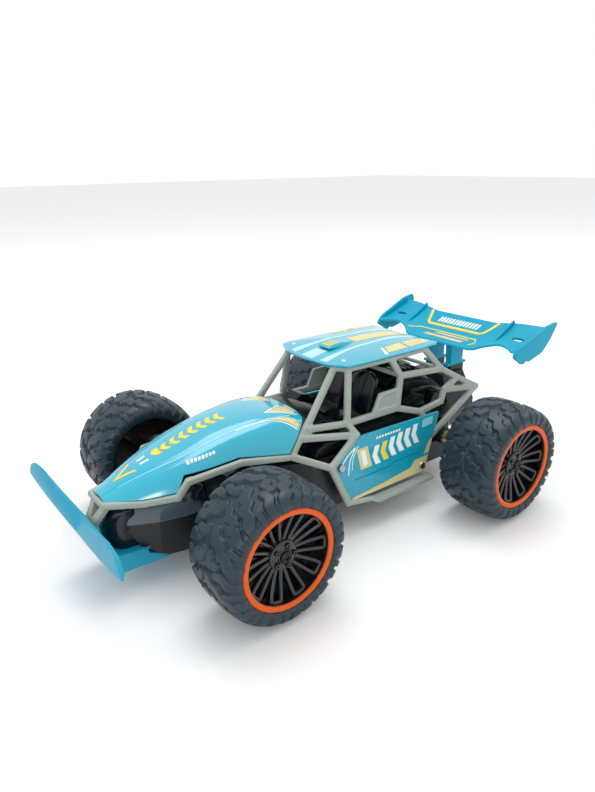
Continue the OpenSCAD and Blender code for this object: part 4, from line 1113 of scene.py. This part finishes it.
band_line = [(-144.4, 30.3), (-134, 25.5), (-131.6, 23), (-131.6, -23), (-134, -25.5), (-144.4, -30.3)]
front_line = [(-118, 24), (-121.5, 27), (-125.4, 25), (-125.4, -26), (-121, -35)]
decal("wing_band", [ribbon(band_line, 2.3)], wing, print_yellow)
decal("wing_front_line", [ribbon(front_line, 1.1)], wing, print_yellow)
decal("wing_bars", [[(-118.6, -18), (-118.6, 16), (-121, 19), (-121, -16)],
                    [(-122.4, -10), (-122.4, 20), (-124, 21), (-124, -8)]], wing, print_cream)
decal("wing_dashes", [[(-134.6, y), (-134.6, y + 1.9), (-139.8, y + 2.6), (-139.8, y + 0.7)]
                      for y in np.linspace(-18, 16, 13)], wing, print_white)

# ---- floor, light and camera

bpy.ops.mesh.primitive_plane_add(size=14, location=(0, 0, 0))
floor = bpy.context.object
floor.name = "studio_floor"
studio_white = plastic("studio_white", (238, 238, 238), rough=0.8, tone=0, bump=0, spec=0.1)
floor.data.materials.append(studio_white)

world = bpy.data.worlds.new("studio")
scene.world = world
world.use_nodes = True
background = world.node_tree.nodes["Background"].inputs
background["Color"].default_value = (1, 1, 1, 1)
background["Strength"].default_value = 1


def softbox(name, place, aim, size, power):
    """Square light of a size in metres, turned to what it lights."""
    light = bpy.data.lights.new(name, "AREA")
    light.size, light.energy = size, power
    obj = bpy.data.objects.new(name, light)
    obj.location = place
    obj.rotation_euler = (Vector(aim) - Vector(place)).to_track_quat("-Z", "Y").to_euler()
    scene.collection.objects.link(obj)


softbox("top_light", (-0.25, -0.35, 1.6), (0, 0, 0.04), 1, 11)
softbox("front_fill", (1.3, 0.9, 0.7), (0, 0, 0.05), 0.35, 2)
softbox("rear_light", (-1.2, 0.4, 1), (0, 0, 0.05), 0.5, 2)
softbox("flank_light", (0.75, 1, 0.55), (0.1, 0, 0.05), 0.16, 1.2)

camera = bpy.data.objects.new("camera", bpy.data.cameras.new("camera"))
scene.collection.objects.link(camera)
camera.data.lens = 28.95
camera.data.sensor_width = 36
# The camera's axes in the frame of the car, then its place in metres
right, up, back = (-0.7913, 0.6113, -0.0121), (-0.2202, -0.2663, 0.9384), (0.5704, 0.7453, 0.3453)
turn = Matrix((right, up, back)).transposed().to_4x4()
camera.matrix_world = Matrix.Translation((0.2357, 0.2910, 0.2092)) @ turn
camera.data.clip_start = 0.01
scene.camera = camera
